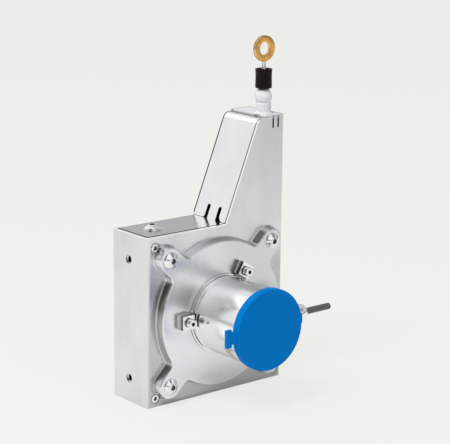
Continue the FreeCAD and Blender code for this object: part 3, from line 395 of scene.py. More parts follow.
side_hole_radius = 3.5
side_hole_y = 1.8
side_hole_offset = 45.75


def fold_side(bm, hand, height):
    """Rolls the sheet back round its bend, and fills the side wall round its two holes"""
    bend = open_edges(bm, lambda place: abs(place.x - hand * bend_start) < 0.001)
    bend = push(bm, bend, (hand * 0.05, 0, 0))
    bend = sweep(bm, with_ends(bend), (hand * (half_width - bend_radius), front + bend_radius, 0), (0, 0, 1),
                 hand * 90, 8)
    borders = push(bm, edges_of(bend), (0, 0.4, 0))
    ends = sorted(verts_of(with_ends(borders)), key=lambda vert: vert.co.z)
    rim, rim_edges = chain(bm, [(hand * half_width, back, 0), (hand * half_width, back, height)])
    borders += rim_edges + [bm.edges.new((ends[0], rim[0])), bm.edges.new((ends[-1], rim[1]))]
    for offset in (-side_hole_offset, side_hole_offset):
        place = Matrix.Translation((hand * half_width, side_hole_y, axis_z + offset))
        borders += ring(bm, side_hole_radius, place @ Matrix.Rotation(math.pi / 2, 4, "Y"), 32)
    bmesh.ops.triangle_fill(bm, edges=borders, use_beauty=True, normal=(hand, 0, 0))
    merge(bm)


fold_side(skin, -1, box_top)
fold_side(skin, 1, tower_top)
bmesh.ops.recalc_face_normals(skin, faces=skin.faces)
bmesh.ops.solidify(skin, geom=list(skin.faces), thickness=sheet)
corner_reach = 57.6
corner_hole_radius = 4.2


def corner_places(y):
    """Places at the three corners that have a screw; the tower stands at the fourth"""
    return [facing(sx * corner_reach, y, axis_z + sz * corner_reach)
            for sx, sz in ((-1, -1), (-1, 1), (1, -1))]


corner_drills = [cutter(corner_hole_radius, 10, place) for place in corner_places(front - 1)]


def front_painted_light(steel, colour):
    """Painted light and shade: a painted highlight on the tower's slanted cut edge, painted shade on the
    flat under and beside the moulding, painted light on the plateau's left half, and a painted dark
    reflection on the drawn wall on the left"""
    x, y, z = (steel.millimetres(name) for name in "XYZ")
    off_slope = (x - slope_foot) * math.sin(slope_angle) - (z - box_top) * math.cos(slope_angle)
    painted_edge_highlight = (1 - off_slope.between(0.2, 0.5)) * z.between(box_top - 1.5, box_top + 0.5)
    flat = y.between(front - 1.75, front - 0.45) * (1 - y.between(front + 0.15, front + 0.75))
    beside = x.between(46.0, 58.0) + (1 - x.between(-56.0, -46.0)) * 0.7
    # Painted shade on the flat under the moulding and beside it
    under = flat * (1 - z.between(7.0, 30.0) * (1 - beside * (1 - z.between(90.0, 120.0))))
    painted_plateau_light = (1 - y.between(plateau + 0.05, plateau + 0.75)) * (1 - x.between(-30.0, 20.0))
    wall = (1 - y.between(front - 1.65, front - 0.65)) * y.between(plateau + 0.15, plateau + 1.15)
    painted_wall_reflection = wall * (1 - x.between(-35.0, -25.0)) * z.between(30.0, 40.0) * (1 - z.between(88.0, 98.0))
    colour = steel.mix(painted_plateau_light * 0.8, colour, grey(0.84, -0.006))
    colour = steel.mix(painted_wall_reflection * (z.between(45.0, 85.0) * 0.5 + 0.35), colour, grey(0.16, 0.10))
    return steel.mix(painted_edge_highlight, steel.mix(under * 0.55, colour, grey(0.36)), grey(1.0))


front_steel = brushed_steel("brushed_front_steel", level=0.70, scale=(5200.0, 5200.0, 45.0), roughness=0.25,
                            cloud=0.09, painted_light_and_shade=front_painted_light)
settle(carve(to_object(skin, "front_cover_sheet"), *corner_drills), front_steel, "housing", "housing_sheet",
       "front_cover")


# Back cover: the second sheet, folded forward at top and bottom, with the tower's rear wall.
# It slides into the front cover, so that its edges stand one seam inside the outer sheet.
def rounded(bm, edges, size, segments=3):
    """Rounds edges over by a size"""
    bmesh.ops.bevel(bm, geom=edges, offset=size, offset_type="OFFSET", segments=segments, profile=0.5,
                    affect="EDGES", material=-1, clamp_overlap=True)


def from_solid(node, soften=0.0, angle=25.0, segments=2):
    """A merged copy of a solid in millimetres, with its sharp edges softened"""
    bm = bmesh.new()
    bm.from_mesh(frame["nodes"][node].data)
    bmesh.ops.transform(bm, matrix=Matrix.Scale(1 / MM, 4), verts=bm.verts)
    merge(bm, 0.002)
    bmesh.ops.dissolve_limit(bm, angle_limit=math.radians(0.5), verts=bm.verts, edges=bm.edges)
    if soften:
        sharp = [item for item in bm.edges
                 if len(item.link_faces) == 2 and item.calc_face_angle() > math.radians(angle)]
        rounded(bm, sharp, soften, segments)
    return bm


seam_width = 0.9
top_flange_left = -62.1
top_flange_front = -17.7


def flange_seam_shade(steel, colour):
    """Painted shade: the top flange's cut edges lie in the seam and are painted near black as its shade"""
    x, y, z = (steel.millimetres(name) for name in "XYZ")
    away = x.between(top_flange_left, top_flange_left + 0.5)
    away = away * y.between(top_flange_front, top_flange_front + 0.9)
    return steel.mix((1 - away) * z.between(box_top - 4, box_top - 3), colour, grey(0.015))


back_steel = brushed_steel("brushed_back_steel", level=0.60, scale=(4200.0, 4200.0, 60.0), roughness=0.19,
                           cloud=0.04, bump=0.05, painted_light_and_shade=flange_seam_shade)
folded = from_solid("back_cover")
# The top flange is drawn back from the front cover on its left and at its front, which opens the seam.
for vert in folded.verts:
    if box_top - 2 < vert.co.z < box_top + 0.1:
        if vert.co.x < 2.0 - half_width:
            vert.co.x += seam_width
        if vert.co.y < front + 2.0:
            vert.co.y += seam_width
settle(to_object(folded, "back_cover_sheet"), back_steel, "housing", "housing_sheet", "back_cover")


# Tower cover: a polished steel strip that closes the slope. It rolls over at the top, and at the foot
# a tongue between two round-ended slots reaches down into the top flange.
cover_sheet = 1.0
cover_gap = 0.3
cover_front = -18.7
lip_end = 46.4
climb = math.sin(slope_angle)
run = math.cos(slope_angle)
cover_foot = Vector((slope_foot + cover_gap * climb, 0, box_top - cover_gap * run))
lying = Matrix.Translation(cover_foot) @ Matrix((
    (0, run, climb, 0), (1, 0, 0, 0), (0, climb, -run, 0), (0, 0, 0, 1)))
foot_level = cover_gap / climb
roll_level = (roll_start - Vector((cover_foot.x, front, cover_foot.z))).dot(Vector((run, 0, climb)))
foot_corner = 3.0
low_corner = 4.6
high_corner = 2.6
tongue_front = -6.3
tongue_back = 3.3
tongue_end = -2.9 / climb
slot_end = 10.5 / climb
slot_round = 1.8
slot_front = tongue_front - 2 * slot_round
slot_back = tongue_back + 2 * slot_round


def draw_line(bm, start, points):
    """Straight edges from a vertex through points in the plane; returns the last vertex"""
    for x, y in points:
        reached = bm.verts.new((x, y, 0))
        bm.edges.new((start, reached))
        start = reached
    return start


def draw_arc(bm, start, x, y, angle, steps):
    """An arc from a vertex about a centre in the plane; returns the vertex at its end"""
    return verts_of(sweep(bm, [start], (x, y, 0), (0, 0, 1), angle, steps))[0]


strip = bmesh.new()
first = strip.verts.new((back, roll_level, 0))
pen = draw_line(strip, first, [(cover_front, roll_level), (cover_front, foot_level),
                               (slot_front - low_corner, foot_level)])
pen = draw_arc(strip, pen, slot_front - low_corner, foot_level + low_corner, 90, 6)
pen = draw_line(strip, pen, [(slot_front, slot_end - slot_round)])
pen = draw_arc(strip, pen, slot_front + slot_round, slot_end - slot_round, -180, 10)
pen = draw_line(strip, pen, [(tongue_front, tongue_end), (tongue_back, tongue_end),
                             (tongue_back, slot_end - slot_round)])
pen = draw_arc(strip, pen, slot_back - slot_round, slot_end - slot_round, -180, 10)
pen = draw_line(strip, pen, [(slot_back, foot_level + high_corner)])
pen = draw_arc(strip, pen, slot_back + high_corner, foot_level + high_corner, 90, 6)
pen = draw_line(strip, pen, [(back - foot_corner, foot_level)])
pen = draw_arc(strip, pen, back - foot_corner, foot_level + foot_corner, 90, 8)
strip.edges.new((pen, first))
bmesh.ops.triangle_fill(strip, edges=list(strip.edges), use_beauty=True, normal=(0, 0, -1))
bmesh.ops.transform(strip, matrix=lying, verts=strip.verts)
top_edge = [item for item in strip.edges if all(vert.co.z > roll_centre.z for vert in item.verts)]
shift = Vector((0.02 * run, 0, 0.02 * climb))
top_edge = push(strip, top_edge, shift)
rolled = sweep(strip, with_ends(top_edge), (roll_centre.x + shift.x, 0, roll_centre.z + shift.z), (0, 1, 0),
               math.degrees(slope_angle), 16)
push(strip, edges_of(rolled), (lip_end - roll_centre.x, 0, 0))
merge(strip)
bmesh.ops.recalc_face_normals(strip, faces=strip.faces)
if sum(face.normal.x for face in strip.faces) > 0:
    bmesh.ops.reverse_faces(strip, faces=strip.faces)
bmesh.ops.solidify(strip, geom=list(strip.faces), thickness=cover_sheet)
polished = Finish("polished_steel")
streaks = polished.noise((900.0, 40.0, 40.0), 3.0)
haze = polished.noise((30.0, 30.0, 22.0), 2.0)
depth = polished.millimetres("Y")
# Painted shade: the strip is near black along its seams at both sides and at the lip's end
clear_of_seam_shade = depth.between(cover_front + 0.5, cover_front + 0.9)
clear_of_seam_shade = clear_of_seam_shade * (1 - depth.between(back - 1.45, back - 0.95))
clear_of_lip_shade = 1 - polished.millimetres("X").between(lip_end - 3.4, lip_end - 2.6) * 0.85
cover_colour = polished.mix(haze.between(0.35, 0.65), grey(0.91), grey(0.98, 0.003))
cover_steel = polished.shade(
    Base_Color=polished.mix(1 - clear_of_seam_shade * clear_of_lip_shade, cover_colour, grey(0.02)), Metallic=1.0,
    Roughness=haze * 0.06 + 0.10, Normal=polished.bump(streaks, 0.03))
settle(to_object(strip, "tower_cover_sheet"), cover_steel, "housing", "polished_sheet", "tower_cover")


# Screws of the housing, turned from stainless steel: four large button heads on the arms, three recessed
# ones in the corners on their tubes, countersunk ones at the back, and one with a washer on the top.
def turned_form(outline, soft_rings=(), steps=72, closed=False):
    """A turned shape about its own axis from (radius, height) pairs.
    soft_rings holds (index, size) of the corners that are rounded over."""
    bm = bmesh.new()
    points, edges = chain(bm, [(radius, 0, height) for radius, height in outline], closed)
    bmesh.ops.spin(bm, geom=points + edges, cent=(0, 0, 0), axis=(0, 0, 1), angle=2 * math.pi, steps=steps,
                   use_merge=True)
    merge(bm)
    bmesh.ops.recalc_face_normals(bm, faces=bm.faces)
    for index, soft_size in soft_rings:
        radius, height = outline[index]
        at_ring = [item for item in bm.edges
                   if all(abs(vert.co.z - height) < 0.001 and abs(vert.co.xy.length - radius) < 0.001
                          for vert in item.verts)]
        rounded(bm, at_ring, soft_size, 5)
    return bm


def placed(bm, place):
    bmesh.ops.transform(bm, matrix=place, verts=bm.verts)
    return bm


def copies(one, name, places, smooth=32.0):
    """Repeats one object's mesh at places in millimetres"""
    bm = bmesh.new()
    for place in places:
        bm.from_mesh(one.data)
        fresh = bm.verts[-len(one.data.vertices):]
        bmesh.ops.transform(bm, matrix=Matrix.Scale(1 / MM, 4), verts=fresh)
        bmesh.ops.transform(bm, matrix=place, verts=fresh)
    bpy.data.objects.remove(one)
    return to_object(bm, name, smooth)


def screws(name, form, flats, depth, top, places):
    """Copies of one screw with a hexagon socket; faces in the socket or in the gap under a clamp screw's
    head take the second material, a painted shade"""
    hexagon = cutter(flats / math.sqrt(3), depth + 2, Matrix.Translation((0, 0, top + 1 - depth / 2)), 6)
    one = carve(to_object(form, name + "_one"), hexagon)
    for face in one.data.polygons:
        out = face.center.xy.length / MM
        height = face.center.z / MM
        in_socket = out < 0.6 * flats and top - depth + 0.05 < height < top - 0.02
        under_head = top > 4 and 0.1 < height < 0.9 and abs(face.normal.z) < 0.1
        face.material_index = int(in_socket or under_head)
    return copies(one, name, places, 28)


def settle_screws(made, node):
    """Screws take a second material in their sockets, a near-black painted shade"""
    settle(made, screw_steel, "housing", "screw_steel", node)
    made.data.materials.append(painted_socket_shade)


def on_arms(y, turn):
    """Places on the four arms, with their own axis turned from upright"""
    return [Matrix.Translation((sx * arm_reach, y, axis_z + sz * arm_reach)) @ Matrix.Rotation(turn, 4, "X")
            for sx in (-1, 1) for sz in (-1, 1)]


screw_finish = Finish("screw_steel")
turning = screw_finish.noise((420.0, 420.0, 420.0), 2.0)
screw_steel = screw_finish.shade(
    Base_Color=screw_finish.mix(turning, grey(0.76), grey(0.88, 0.01)), Metallic=1.0,
    Roughness=turning * 0.08 + 0.06, Normal=screw_finish.bump(turning, 0.02))
# Painted shade for the screws: near-black steel for the faces in their sockets and under the clamp heads
socket_shade_finish = Finish("dark_screw_steel")
cloudy = socket_shade_finish.noise((300.0, 300.0, 300.0), 3.0)
painted_socket_shade = socket_shade_finish.shade(Base_Color=socket_shade_finish.mix(cloudy, grey(0.05), grey(0.09)), Metallic=1.0,
                               Roughness=cloudy * 0.15 + 0.25)
button = [(0, 3.0), (2.7, 3.0), (5.9, 0.9), (6.2, 0.5), (6.2, 0), (2.9, 0), (2.9, -16.9), (0, -16.9)]
cover_form = turned_form(button, [(1, 0.35), (2, 0.3)])
cover_heads = screws("cover_screw_set", cover_form, flats=4.0, depth=2.0, top=3.0,
                     places=on_arms(plateau, math.pi / 2))
settle_screws(cover_heads, "cover_screws")
cap_head = [(0, 2.35), (3.25, 2.35), (3.25, 0), (1.9, 0), (1.9, -38.9), (0, -38.9)]
corner_form = turned_form(cap_head, [(1, 0.5)], steps=48)
corner_heads = screws("corner_screw_set", corner_form, flats=3.0, depth=1.5, top=2.35,
                      places=corner_places(-18.5))
settle_screws(corner_heads, "corner_screws")
standoff_form = turned_form([(3.5, 20.35), (3.9, 20.35), (3.9, 19.25), (4.9, 19.25), (4.9, -19.25),
                             (2.0, -19.25), (2.0, 18.5), (3.5, 18.5)],
                            [(0, 0.1), (1, 0.15)], steps=48, closed=True)
standoffs = copies(to_object(standoff_form, "standoff"), "corner_standoff_set", corner_places(0))
settle(standoffs, screw_steel, "housing", "turned_steel", "corner_standoffs")
sunk = [(0, -0.03), (3.75, -0.03), (3.75, -0.15), (1.9, -1.95), (1.9, -10.95), (0, -10.95)]
rear_heads = screws("rear_screw_set", turned_form(sunk, [], steps=48), flats=2.5, depth=1.35, top=0,
                    places=on_arms(back - 0.05, -math.pi / 2))
settle_screws(rear_heads, "rear_screws")
washer_height = 0.6
washer_middle = middle_of("top_washer")
washer_place = Matrix.Translation((washer_middle.x, washer_middle.y, box_top))
top_place = washer_place @ Matrix.Translation((0, 0, washer_height))
top_button = [(0, 3.0), (2.7, 3.0), (5.9, 0.9), (6.2, 0.5), (6.2, 0), (2.4, 0), (2.4, -8.9), (0, -8.9)]
top_form = turned_form(top_button, [(1, 0.35), (2, 0.3)])
top_head = screws("top_screw_head", top_form, flats=4.0, depth=2.0, top=3.0, places=[top_place])
settle_screws(top_head, "top_screw")
washer = turned_form([(2.5, 0), (6.9, 0), (6.9, washer_height), (2.5, washer_height)],
                     [(1, 0.12), (2, 0.2)], closed=True)
settle(to_object(placed(washer, washer_place), "top_screw_washer"), screw_steel, "housing", "screw_steel",
       "top_washer")


# Encoder: a turned aluminium flange with a groove for the servo clamps, and the can pushed on it.
# The can is drawn steel, turned to a fine satin with rings that can just be seen.
about_axis = facing(0, 0, axis_z)
gland_y = middle_of("cable").y
beside_can = Matrix.Translation((0, gland_y, axis_z)) @ Matrix.Rotation(math.pi / 2, 4, "Y")
bore_radius = 3.3
flange_front = 33.55
can_radius = 29.2
can_inside = 27.4
can_front = 78.85
mouth_radius = 6.0
flange = turned_form([(bore_radius, 26.4), (18.0, 26.4), (18.0, 27.75), (30.0, 27.75), (30.0, 28.15),
                      (30.6, 28.15), (30.6, 29.55), (28.3, 29.55), (28.3, 31.15), (29.5, 31.15),
                      (29.5, flange_front), (bore_radius, flange_front)],
                     [(6, 0.35), (9, 0.15), (10, 0.25)], steps=128, closed=True)
satin = Finish("turned_aluminium")
rings = satin.node("ShaderNodeTexNoise", {"noise_dimensions": "1D"},
                   {"W": satin.axis("Y") * 2600.0, "Scale": 1.0, "Detail": 3.0})
smears = satin.noise((14.0, 60.0, 14.0), 3.0)
tone = rings * 0.3 + smears * 0.7
turned_metal = satin.shade(
    Base_Color=satin.mix(tone.between(0.3, 0.7), grey(0.90), grey(1.0, -0.004)), Metallic=1.0,
    Roughness=rings * 0.12 + smears * 0.10 + 0.10, Normal=satin.bump(rings, 0.05))
settle(to_object(placed(flange, about_axis), "encoder_flange_turned"), turned_metal, "housing",
       "turned_aluminium", "encoder_flange")
can = turned_form([(can_inside, flange_front), (can_radius, flange_front), (can_radius, can_front),
                   (can_inside, can_front)], [(1, 0.25), (2, 0.3)], steps=128, closed=True)
can = to_object(placed(can, about_axis), "encoder_can")
mouth = cutter(mouth_radius, 20, beside_can @ Matrix.Translation((0, 0, 29)))
settle(carve(can, mouth), turned_metal, "housing", "turned_steel", "encoder_body")


# Servo clamps: three small plated steel blocks whose lips reach into the flange's groove, each held on the
# plateau by one cap-head screw. Their sides behind the front face carry painted shade.
clamps = from_solid("servo_clamps", 0.45, 40, 3)
clamp_finish = Finish("clamp_steel")
clamp_noise = clamp_finish.noise((260.0, 260.0, 260.0), 3.0)
clamp_colour = clamp_finish.mix(clamp_noise, grey(0.82, 0.015), grey(0.92, 0.03))
depth = clamp_finish.millimetres("Y")
not_wire_end = 1 - clamp_finish.millimetres("Z").between(150.0, 160.0)
# Painted shade on the sides behind the front face, lighter near the plateau; the crimp sleeve is left out
painted_side_shade = depth.between(-33.3, -32.6) * (1 - depth.between(-31.8, -28.0) * 0.55) * not_wire_end
clamp_steel = clamp_finish.shade(
    Base_Color=clamp_finish.mix(painted_side_shade * 0.85, clamp_colour, grey(0.02, 0.05)), Metallic=1.0,
    Roughness=clamp_noise * 0.08 + 0.12)
settle(to_object(clamps, "servo_clamp_set", 40), clamp_steel, "housing", "nickel", "servo_clamps")
clamp_reach = 35.6
clamp_top = -33.5
clamp_places = [Matrix.Translation((0, 0, axis_z)) @ Matrix.Rotation(-math.radians(angle), 4, "Y")
                @ facing(clamp_reach, clamp_top, 0) for angle in (60, 180, 300)]
small_head = [(0, 4.6), (3.6, 4.6), (3.6, 1.1), (3.6, 0), (1.9, 0), (1.9, -10.7), (0, -10.7)]
clamp_form = turned_form(small_head, [(1, 0.6)], steps=48)
clamp_heads = screws("clamp_screw_set", clamp_form, flats=3.0, depth=2.4, top=4.6, places=clamp_places)
settle_screws(clamp_heads, "clamp_screws")


# End cap: a blue moulding pushed on the can, with a pull tab on its left and a nub on its right.
# It is a semi-gloss plastic with the faint grain that the mould leaves.
def join(bm, other):
    """Adds a second mesh to the first"""
    mesh = bpy.data.meshes.new("joined")
    other.to_mesh(mesh)
    other.free()
    bm.from_mesh(mesh)
    bpy.data.meshes.remove(mesh)


def block(centre, size, soft_size):
    """A block with rounded edges"""
    bm = bmesh.new()
    bmesh.ops.create_cube(bm, size=1, matrix=Matrix.Translation(centre) @ Matrix.Diagonal((*size, 1)))
    rounded(bm, list(bm.edges), soft_size)
    return bm


cap_radius = 30.7
cap_front = 83.15
cap = turned_form([(0, cap_front), (cap_radius, cap_front), (cap_radius, 76.95), (29.25, 76.95),
                   (29.25, can_front), (27.35, can_front), (27.35, 73.85), (25.75, 73.85), (25.75, 80.45),
                   (0, 80.45)], [(1, 0.9), (2, 0.4)], steps=128)
cap = placed(cap, about_axis)
tab_y = 2.2 - cap_front
pull_tab = ((-37.6, tab_y, axis_z), (5.2, 3.0, 13.6))
tab_neck = ((-32.6, tab_y, axis_z), (6.0, 2.6, 9.2))
nub = ((30.0, tab_y, axis_z + 3.0), (4.0, 3.0, 8.0))
for centre, size in (pull_tab, tab_neck, nub):
    join(cap, block(centre, size, 0.8))
blue = Finish("blue_plastic")
pebble = blue.noise((1500.0, 1500.0, 1500.0), 2.0)
shine = blue.noise((25.0, 25.0, 25.0), 2.0)
blue_plastic = blue.shade(
    Base_Color=blue.mix(shine, (0.0, 0.156, 0.48, 1), (0.0, 0.166, 0.51, 1)),
    Roughness=shine * 0.08 + 0.36, Specular_IOR_Level=0.02, Normal=blue.bump(pebble, 0.04))
settle(to_object(cap, "encoder_end_cap"), blue_plastic, "housing", "cap_blue", "encoder_cap")


# Cable gland and cable: a nickel-plated gland on the can's right side, and the cut grey cable.
# The cable leaves the nut level and straight, as the short cut end in the picture does.
settle(to_object(from_solid("gland_body", 0.2), "gland_body_turned"), clamp_steel, "housing", "nickel",
       "gland_body")
nut = turned_form([(5.55, 34.9), (7.2, 34.9), (7.2, 45.6), (5.9, 49.6), (3.6, 51.2), (2.8, 51.2), (2.8, 50.1),
                   (5.55, 48.9)], [(1, 0.3), (2, 1.6), (3, 1.0), (4, 0.4)], closed=True)
settle(to_object(placed(nut, beside_can), "gland_dome_nut"), clamp_steel, "housing", "nickel", "gland_nut")
cable_radius = 2.5
line = bpy.data.curves.new("cable_line", "CURVE")
line.dimensions = "3D"
spline = line.splines.new("NURBS")
spline.points.add(4)
for point, x in zip(spline.points, (43.8, 51.0, 58.0, 67.0, 76.0)):
    point.co = (x * MM, gland_y * MM, axis_z * MM, 1)
spline.order_u = 3
spline.use_endpoint_u = True
line.bevel_depth = cable_radius * MM
line.bevel_resolution = 8
line.use_fill_caps = True
cable = bpy.data.objects.new("encoder_cable", line)
scene.collection.objects.link(cable)
sheath = Finish("cable_sheath")
ripple = sheath.noise((90.0, 700.0, 700.0), 3.0)
cable_grey = sheath.shade(Base_Color=sheath.mix(ripple, grey(0.050), grey(0.105)),
                          Roughness=ripple * 0.15 + 0.38, Normal=sheath.bump(ripple, 0.08))
settle(cable, cable_grey, "housing", "cable_sheath", "cable")


# Wire outlet: a white plastic plug that fills the tower's mouth, with a neck and a ball on it.
# The stopper rests on the ball when the wire is wound in.
wire = middle_of("crimp_sleeve")
on_wire = Matrix.Translation((wire.x, wire.y, 0))
plug = block(centre=(55.075, 0, 206.6), size=(16.85, 38.5, 2.8), soft_size=0.35)
neck = turned_form([(1.3, 190.2), (6.0, 190.2), (6.0, 208.0), (7.6, 208.0), (6.0, 209.6), (5.9, 216.0),
                    (5.2, 216.7), (6.1, 217.9), (6.9, 221.6), (4.4, 226.4), (1.9, 227.06), (1.3, 225.9)],
                   [(3, 0.3), (4, 0.9), (5, 0.3), (6, 0.2), (7, 0.9), (8, 2.4), (9, 0.9)],
                   steps=96, closed=True)
join(plug, placed(neck, on_wire))
white = Finish("white_plastic")
skin_noise = white.noise((500.0, 500.0, 500.0), 2.0)
white_plastic = white.shade(Base_Color=white.mix(skin_noise, grey(0.62, -0.01), grey(0.68, -0.015)),
                            Roughness=skin_noise * 0.1 + 0.32, Normal=white.bump(skin_noise, 0.02))
settle(to_object(plug, "wire_nozzle_white"), white_plastic, "housing", "white_plastic", "wire_nozzle")


# Wire end: rubber stopper, crimp sleeve, and the wire's own loop round a grooved brass eyelet.
# The stopper's top is hollowed, so that the loop's two legs stand in a shallow cup.
stopper = turned_form([(0.5, 227.36), (6.3, 227.36), (6.35, 230.0), (6.2, 236.0), (6.3, 239.6),
                       (6.55, 242.06), (5.6, 242.06), (4.4, 240.9), (0.5, 240.9)],
                      [(1, 0.7), (5, 0.4), (6, 0.35)], steps=96, closed=True)
rubber = Finish("black_rubber")
dust = rubber.noise((240.0, 240.0, 120.0), 3.0)
black_rubber = rubber.shade(
    Base_Color=rubber.mix(dust, (0.003, 0.0005, 0.001, 1), (0.009, 0.002, 0.004, 1)),
    Roughness=dust * 0.2 + 0.26, Specular_IOR_Level=0.14, Normal=rubber.bump(dust, 0.10))
settle(to_object(placed(stopper, on_wire), "rubber_stopper"), black_rubber, "wire_end", "black_rubber",
       "wire_stopper")
crimp_top = round(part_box("crimp_sleeve")[1].z / MM, 2)
crimp = turned_form([(0, 230.7), (1.7, 230.7), (1.7, crimp_top), (0, crimp_top)], [(2, 0.4)], steps=48)
settle(to_object(placed(crimp, on_wire), "crimp_sleeve_pressed"), clamp_steel, "wire_end", "turned_steel",
       "crimp_sleeve")
eyelet_z = middle_of("ring_terminal").z
eyelet = turned_form([(5.0, -1.3), (9.8, -1.3), (9.8, -0.6), (8.7, -0.6), (8.7, 0.6), (9.8, 0.6), (9.8, 1.3),
                      (5.0, 1.3)], [(0, 0.25), (1, 0.2), (6, 0.2), (7, 0.25)], steps=96, closed=True)
brass = Finish("brass")
wear = brass.noise((160.0, 160.0, 160.0), 3.0)
yellow_brass = brass.shade(
    Base_Color=brass.mix(wear.between(0.3, 0.7), (0.70, 0.36, 0.09, 1), (0.94, 0.54, 0.19, 1)), Metallic=1.0,
    Roughness=wear * 0.15 + 0.22, Normal=brass.bump(wear, 0.05))
settle(to_object(placed(eyelet, facing(wire.x, wire.y, eyelet_z)), "brass_eyelet"), yellow_brass, "wire_end",
       "brass", "ring_terminal")
wire_radius = 0.55
loop_radius = 9.25
turn_in = 1.5
leg_x = 1.15
leg_angle = math.degrees(math.asin((leg_x + turn_in) / (loop_radius + turn_in)))
turn_level = -(loop_radius + turn_in) * math.cos(math.radians(leg_angle))
leg_foot = crimp_top - eyelet_z
loop = bmesh.new()
leg = push(loop, ring(loop, wire_radius, Matrix.Translation((leg_x, 0, leg_foot)), 16),
           (0, 0, turn_level - leg_foot))
for centre, angle, steps in (((leg_x + turn_in, 0, turn_level), 90 - leg_angle, 8),
                             ((0, 0, 0), 2 * leg_angle - 360, 72),
                             ((-leg_x - turn_in, 0, turn_level), 90 - leg_angle, 8)):
    leg = edges_of(sweep(loop, with_ends(leg), centre, (0, 1, 0), angle, steps))
push(loop, leg, (0, 0, leg_foot - turn_level))
merge(loop)
bmesh.ops.edgeloop_fill(loop, edges=open_edges(loop, lambda place: True))
bmesh.ops.recalc_face_normals(loop, faces=loop.faces)
strand = Finish("wire_steel")
lay = strand.node("ShaderNodeTexWave", {"wave_type": "BANDS", "bands_direction": "DIAGONAL"},
                  {"Vector": strand.place, "Scale": 700.0, "Distortion": 0.3})
wire_steel = strand.shade(Base_Color=strand.mix(lay, grey(0.42), grey(0.72)), Metallic=1.0, Roughness=0.25,
                          Normal=strand.bump(lay, 0.3))
loop = placed(loop, on_wire @ Matrix.Translation((0, 0, eyelet_z)))
settle(to_object(loop, "wire_eye_loop"), wire_steel, "wire_end", "wire_steel", "wire_loop")


# Everything inside keeps its solid and only takes a finish: ground bearing steel, spring steel,
# cast and turned aluminium, the board and the code disc.
def plain_metal(name, dark, light, roughness, scale=180.0):
    """Machined metal with a soft clouding"""
    metal = Finish(name)
    cloud = metal.noise((scale, scale, scale), 3.0)
    return metal.shade(Base_Color=metal.mix(cloud, dark, light), Metallic=1.0,
                       Roughness=cloud * 0.12 + roughness, Normal=metal.bump(cloud, 0.04))


def plain_matt(name, dark, light, roughness, scale=220.0):
    """Plastic, felt, ceramic or board with a fine mottle"""
    matt = Finish(name)
    mottle = matt.noise((scale, scale, scale), 3.0)
    return matt.shade(Base_Color=matt.mix(mottle, dark, light), Roughness=mottle * 0.15 + roughness,
                      Normal=matt.bump(mottle, 0.06))


bearing_steel = plain_metal("bearing_steel", grey(0.60), grey(0.72), 0.12)
spring_steel = plain_metal("spring_steel", grey(0.36, -0.05), grey(0.48, -0.02), 0.22)
cast_aluminium = plain_metal("cast_aluminium", grey(0.56), grey(0.66), 0.42, 700.0)
machined = plain_metal("machined_aluminium", grey(0.70), grey(0.80), 0.22)
board_green = plain_matt("board_green", (0.01, 0.11, 0.04, 1), (0.02, 0.16, 0.06, 1), 0.4)
sensor_black = plain_matt("sensor_black", grey(0.02), grey(0.035), 0.4)
ceramic = plain_matt("ceramic", grey(0.72), grey(0.8), 0.2)
felt = plain_matt("felt", grey(0.42, 0.08), grey(0.55, 0.08), 0.9, 900.0)
disc_glass = plain_matt("disc_glass", grey(0.5, -0.1), grey(0.6, -0.1), 0.08)
finishes = {
    "corner_posts": machined, "side_inserts": screw_steel, "top_nut": screw_steel,
    "bearing_spider": cast_aluminium, "bearing_outer_rings": bearing_steel, "spring_case": machined,
    "spiral_spring": spring_steel, "encoder_bearing_outer_rings": bearing_steel, "board_posts": machined,
    "circuit_board": board_green, "read_head": sensor_black, "gland_seal": black_rubber,
    "wire_guide": ceramic, "wire_wiper": felt, "drum": machined, "wound_wire": wire_steel,
    "drum_shaft": bearing_steel, "bearing_inner_rings": bearing_steel, "spring_arbor": bearing_steel,
    "encoder_shaft": bearing_steel, "encoder_bearing_inner_rings": bearing_steel, "disc_hub": machined,
    "code_disc": disc_glass, "measuring_wire": wire_steel}
for node, material in finishes.items():
    solid = frame["nodes"][node]
    solid.data.materials.clear()
    solid.data.materials.append(material)


# Floor and light: a plain pale ground that runs out of the picture, under two soft lamps.
# The camera sees it nearly as one flat tone, on which the object's shadow stays.
# Soft patches in the world round it give the metal its light and dark reflections.
backdrop = (0.863, 0.871, 0.831, 1.0)
ground = bmesh.new()
bmesh.ops.create_grid(ground, x_segments=1, y_segments=1, size=4000)
floor = to_object(ground, "floor")
paint = Finish("floor_paint")
seen = paint.ray("Camera") * 0.88 + paint.ray("Glossy") * 0.25
matt_floor = paint.node("ShaderNodeBsdfDiffuse", {}, {"Color": grey(0.82)})
glow = paint.node("ShaderNodeEmission", {}, {"Color": backdrop, "Strength": 1.0})
both = paint.node("ShaderNodeMixShader", {}, {0: seen, 1: matt_floor, 2: glow})
paint.node("ShaderNodeOutputMaterial", {}, {"Surface": both})
floor.data.materials.append(paint.material)


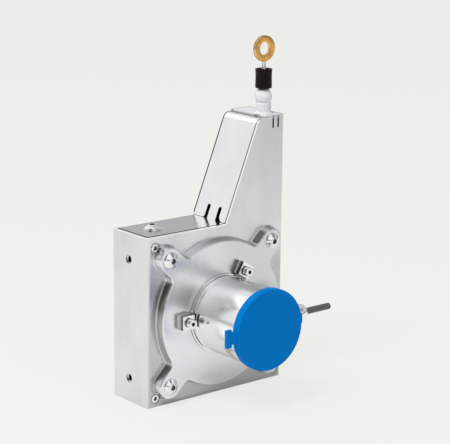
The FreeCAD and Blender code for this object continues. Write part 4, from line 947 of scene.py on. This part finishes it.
def lamp(name, place, target, size, power):
    """A square soft lamp that faces its target"""
    made = bpy.data.objects.new(name, bpy.data.lights.new(name, "AREA"))
    made.data.size = size
    made.data.energy = power
    aim = (Vector(target) - Vector(place)).to_track_quat("-Z", "Y").to_matrix().to_4x4()
    made.matrix_world = Matrix.Translation(place) @ aim
    made.visible_glossy = False
    scene.collection.objects.link(made)


lamp("left_lamp", (-1.1, -0.3, 1.9), (0, 0, 0.08), size=0.8, power=34)
lamp("front_lamp", (0.5, -1.8, 0.8), (0, 0, 0.08), size=1.0, power=2)
world = bpy.data.worlds.new("studio")
scene.world = world
sky = Finish("studio_light", world)
sky.place = sky.node("ShaderNodeTexCoord", output="Generated")
x, y, z = (sky.axis(name) for name in "XYZ")


def patch(across_x, across_y, up, low, high):
    """A soft round patch of the studio; the first three are the direction to its middle"""
    return (x * across_x + y * across_y + z * up).between(low, high)


camera_side = patch(-0.63, -0.77, 0.0, 0.35, 0.85)
dark_corner = patch(-0.58, -0.42, 0.70, 0.895, 0.935)
dark_right = patch(0.60, -0.50, 0.62, 0.93, 0.98)
highlight = patch(-0.24, 0.75, 0.61, 0.93, 0.98)
dark_side = patch(-0.83, -0.48, 0.28, 0.945, 0.975)
front_glow = patch(-0.24, -0.75, 0.62, 0.89, 0.96)
horizon = 1 - z.between(0.03, 0.11)
level = 0.84 - x.between(0.0, 0.6) * 0.22 - camera_side * 0.12 - dark_side * 0.6 + front_glow * 0.35
level = level - dark_corner * 0.82 - dark_right * 0.3 + highlight * 0.4 - horizon * 0.6
level = level.math("MAXIMUM", 0.02)
brown_in_corner = sky.mix(dark_corner, grey(1.0, -0.008), (1.0, 0.80, 0.76, 1))
around = sky.node("ShaderNodeBackground", {}, {"Color": brown_in_corner, "Strength": level})
plain = sky.node("ShaderNodeBackground", {}, {"Color": backdrop, "Strength": 1.0})
both = sky.node("ShaderNodeMixShader", {}, {0: sky.ray("Camera"), 1: around, 2: plain})
sky.node("ShaderNodeOutputWorld", {}, {"Surface": both})
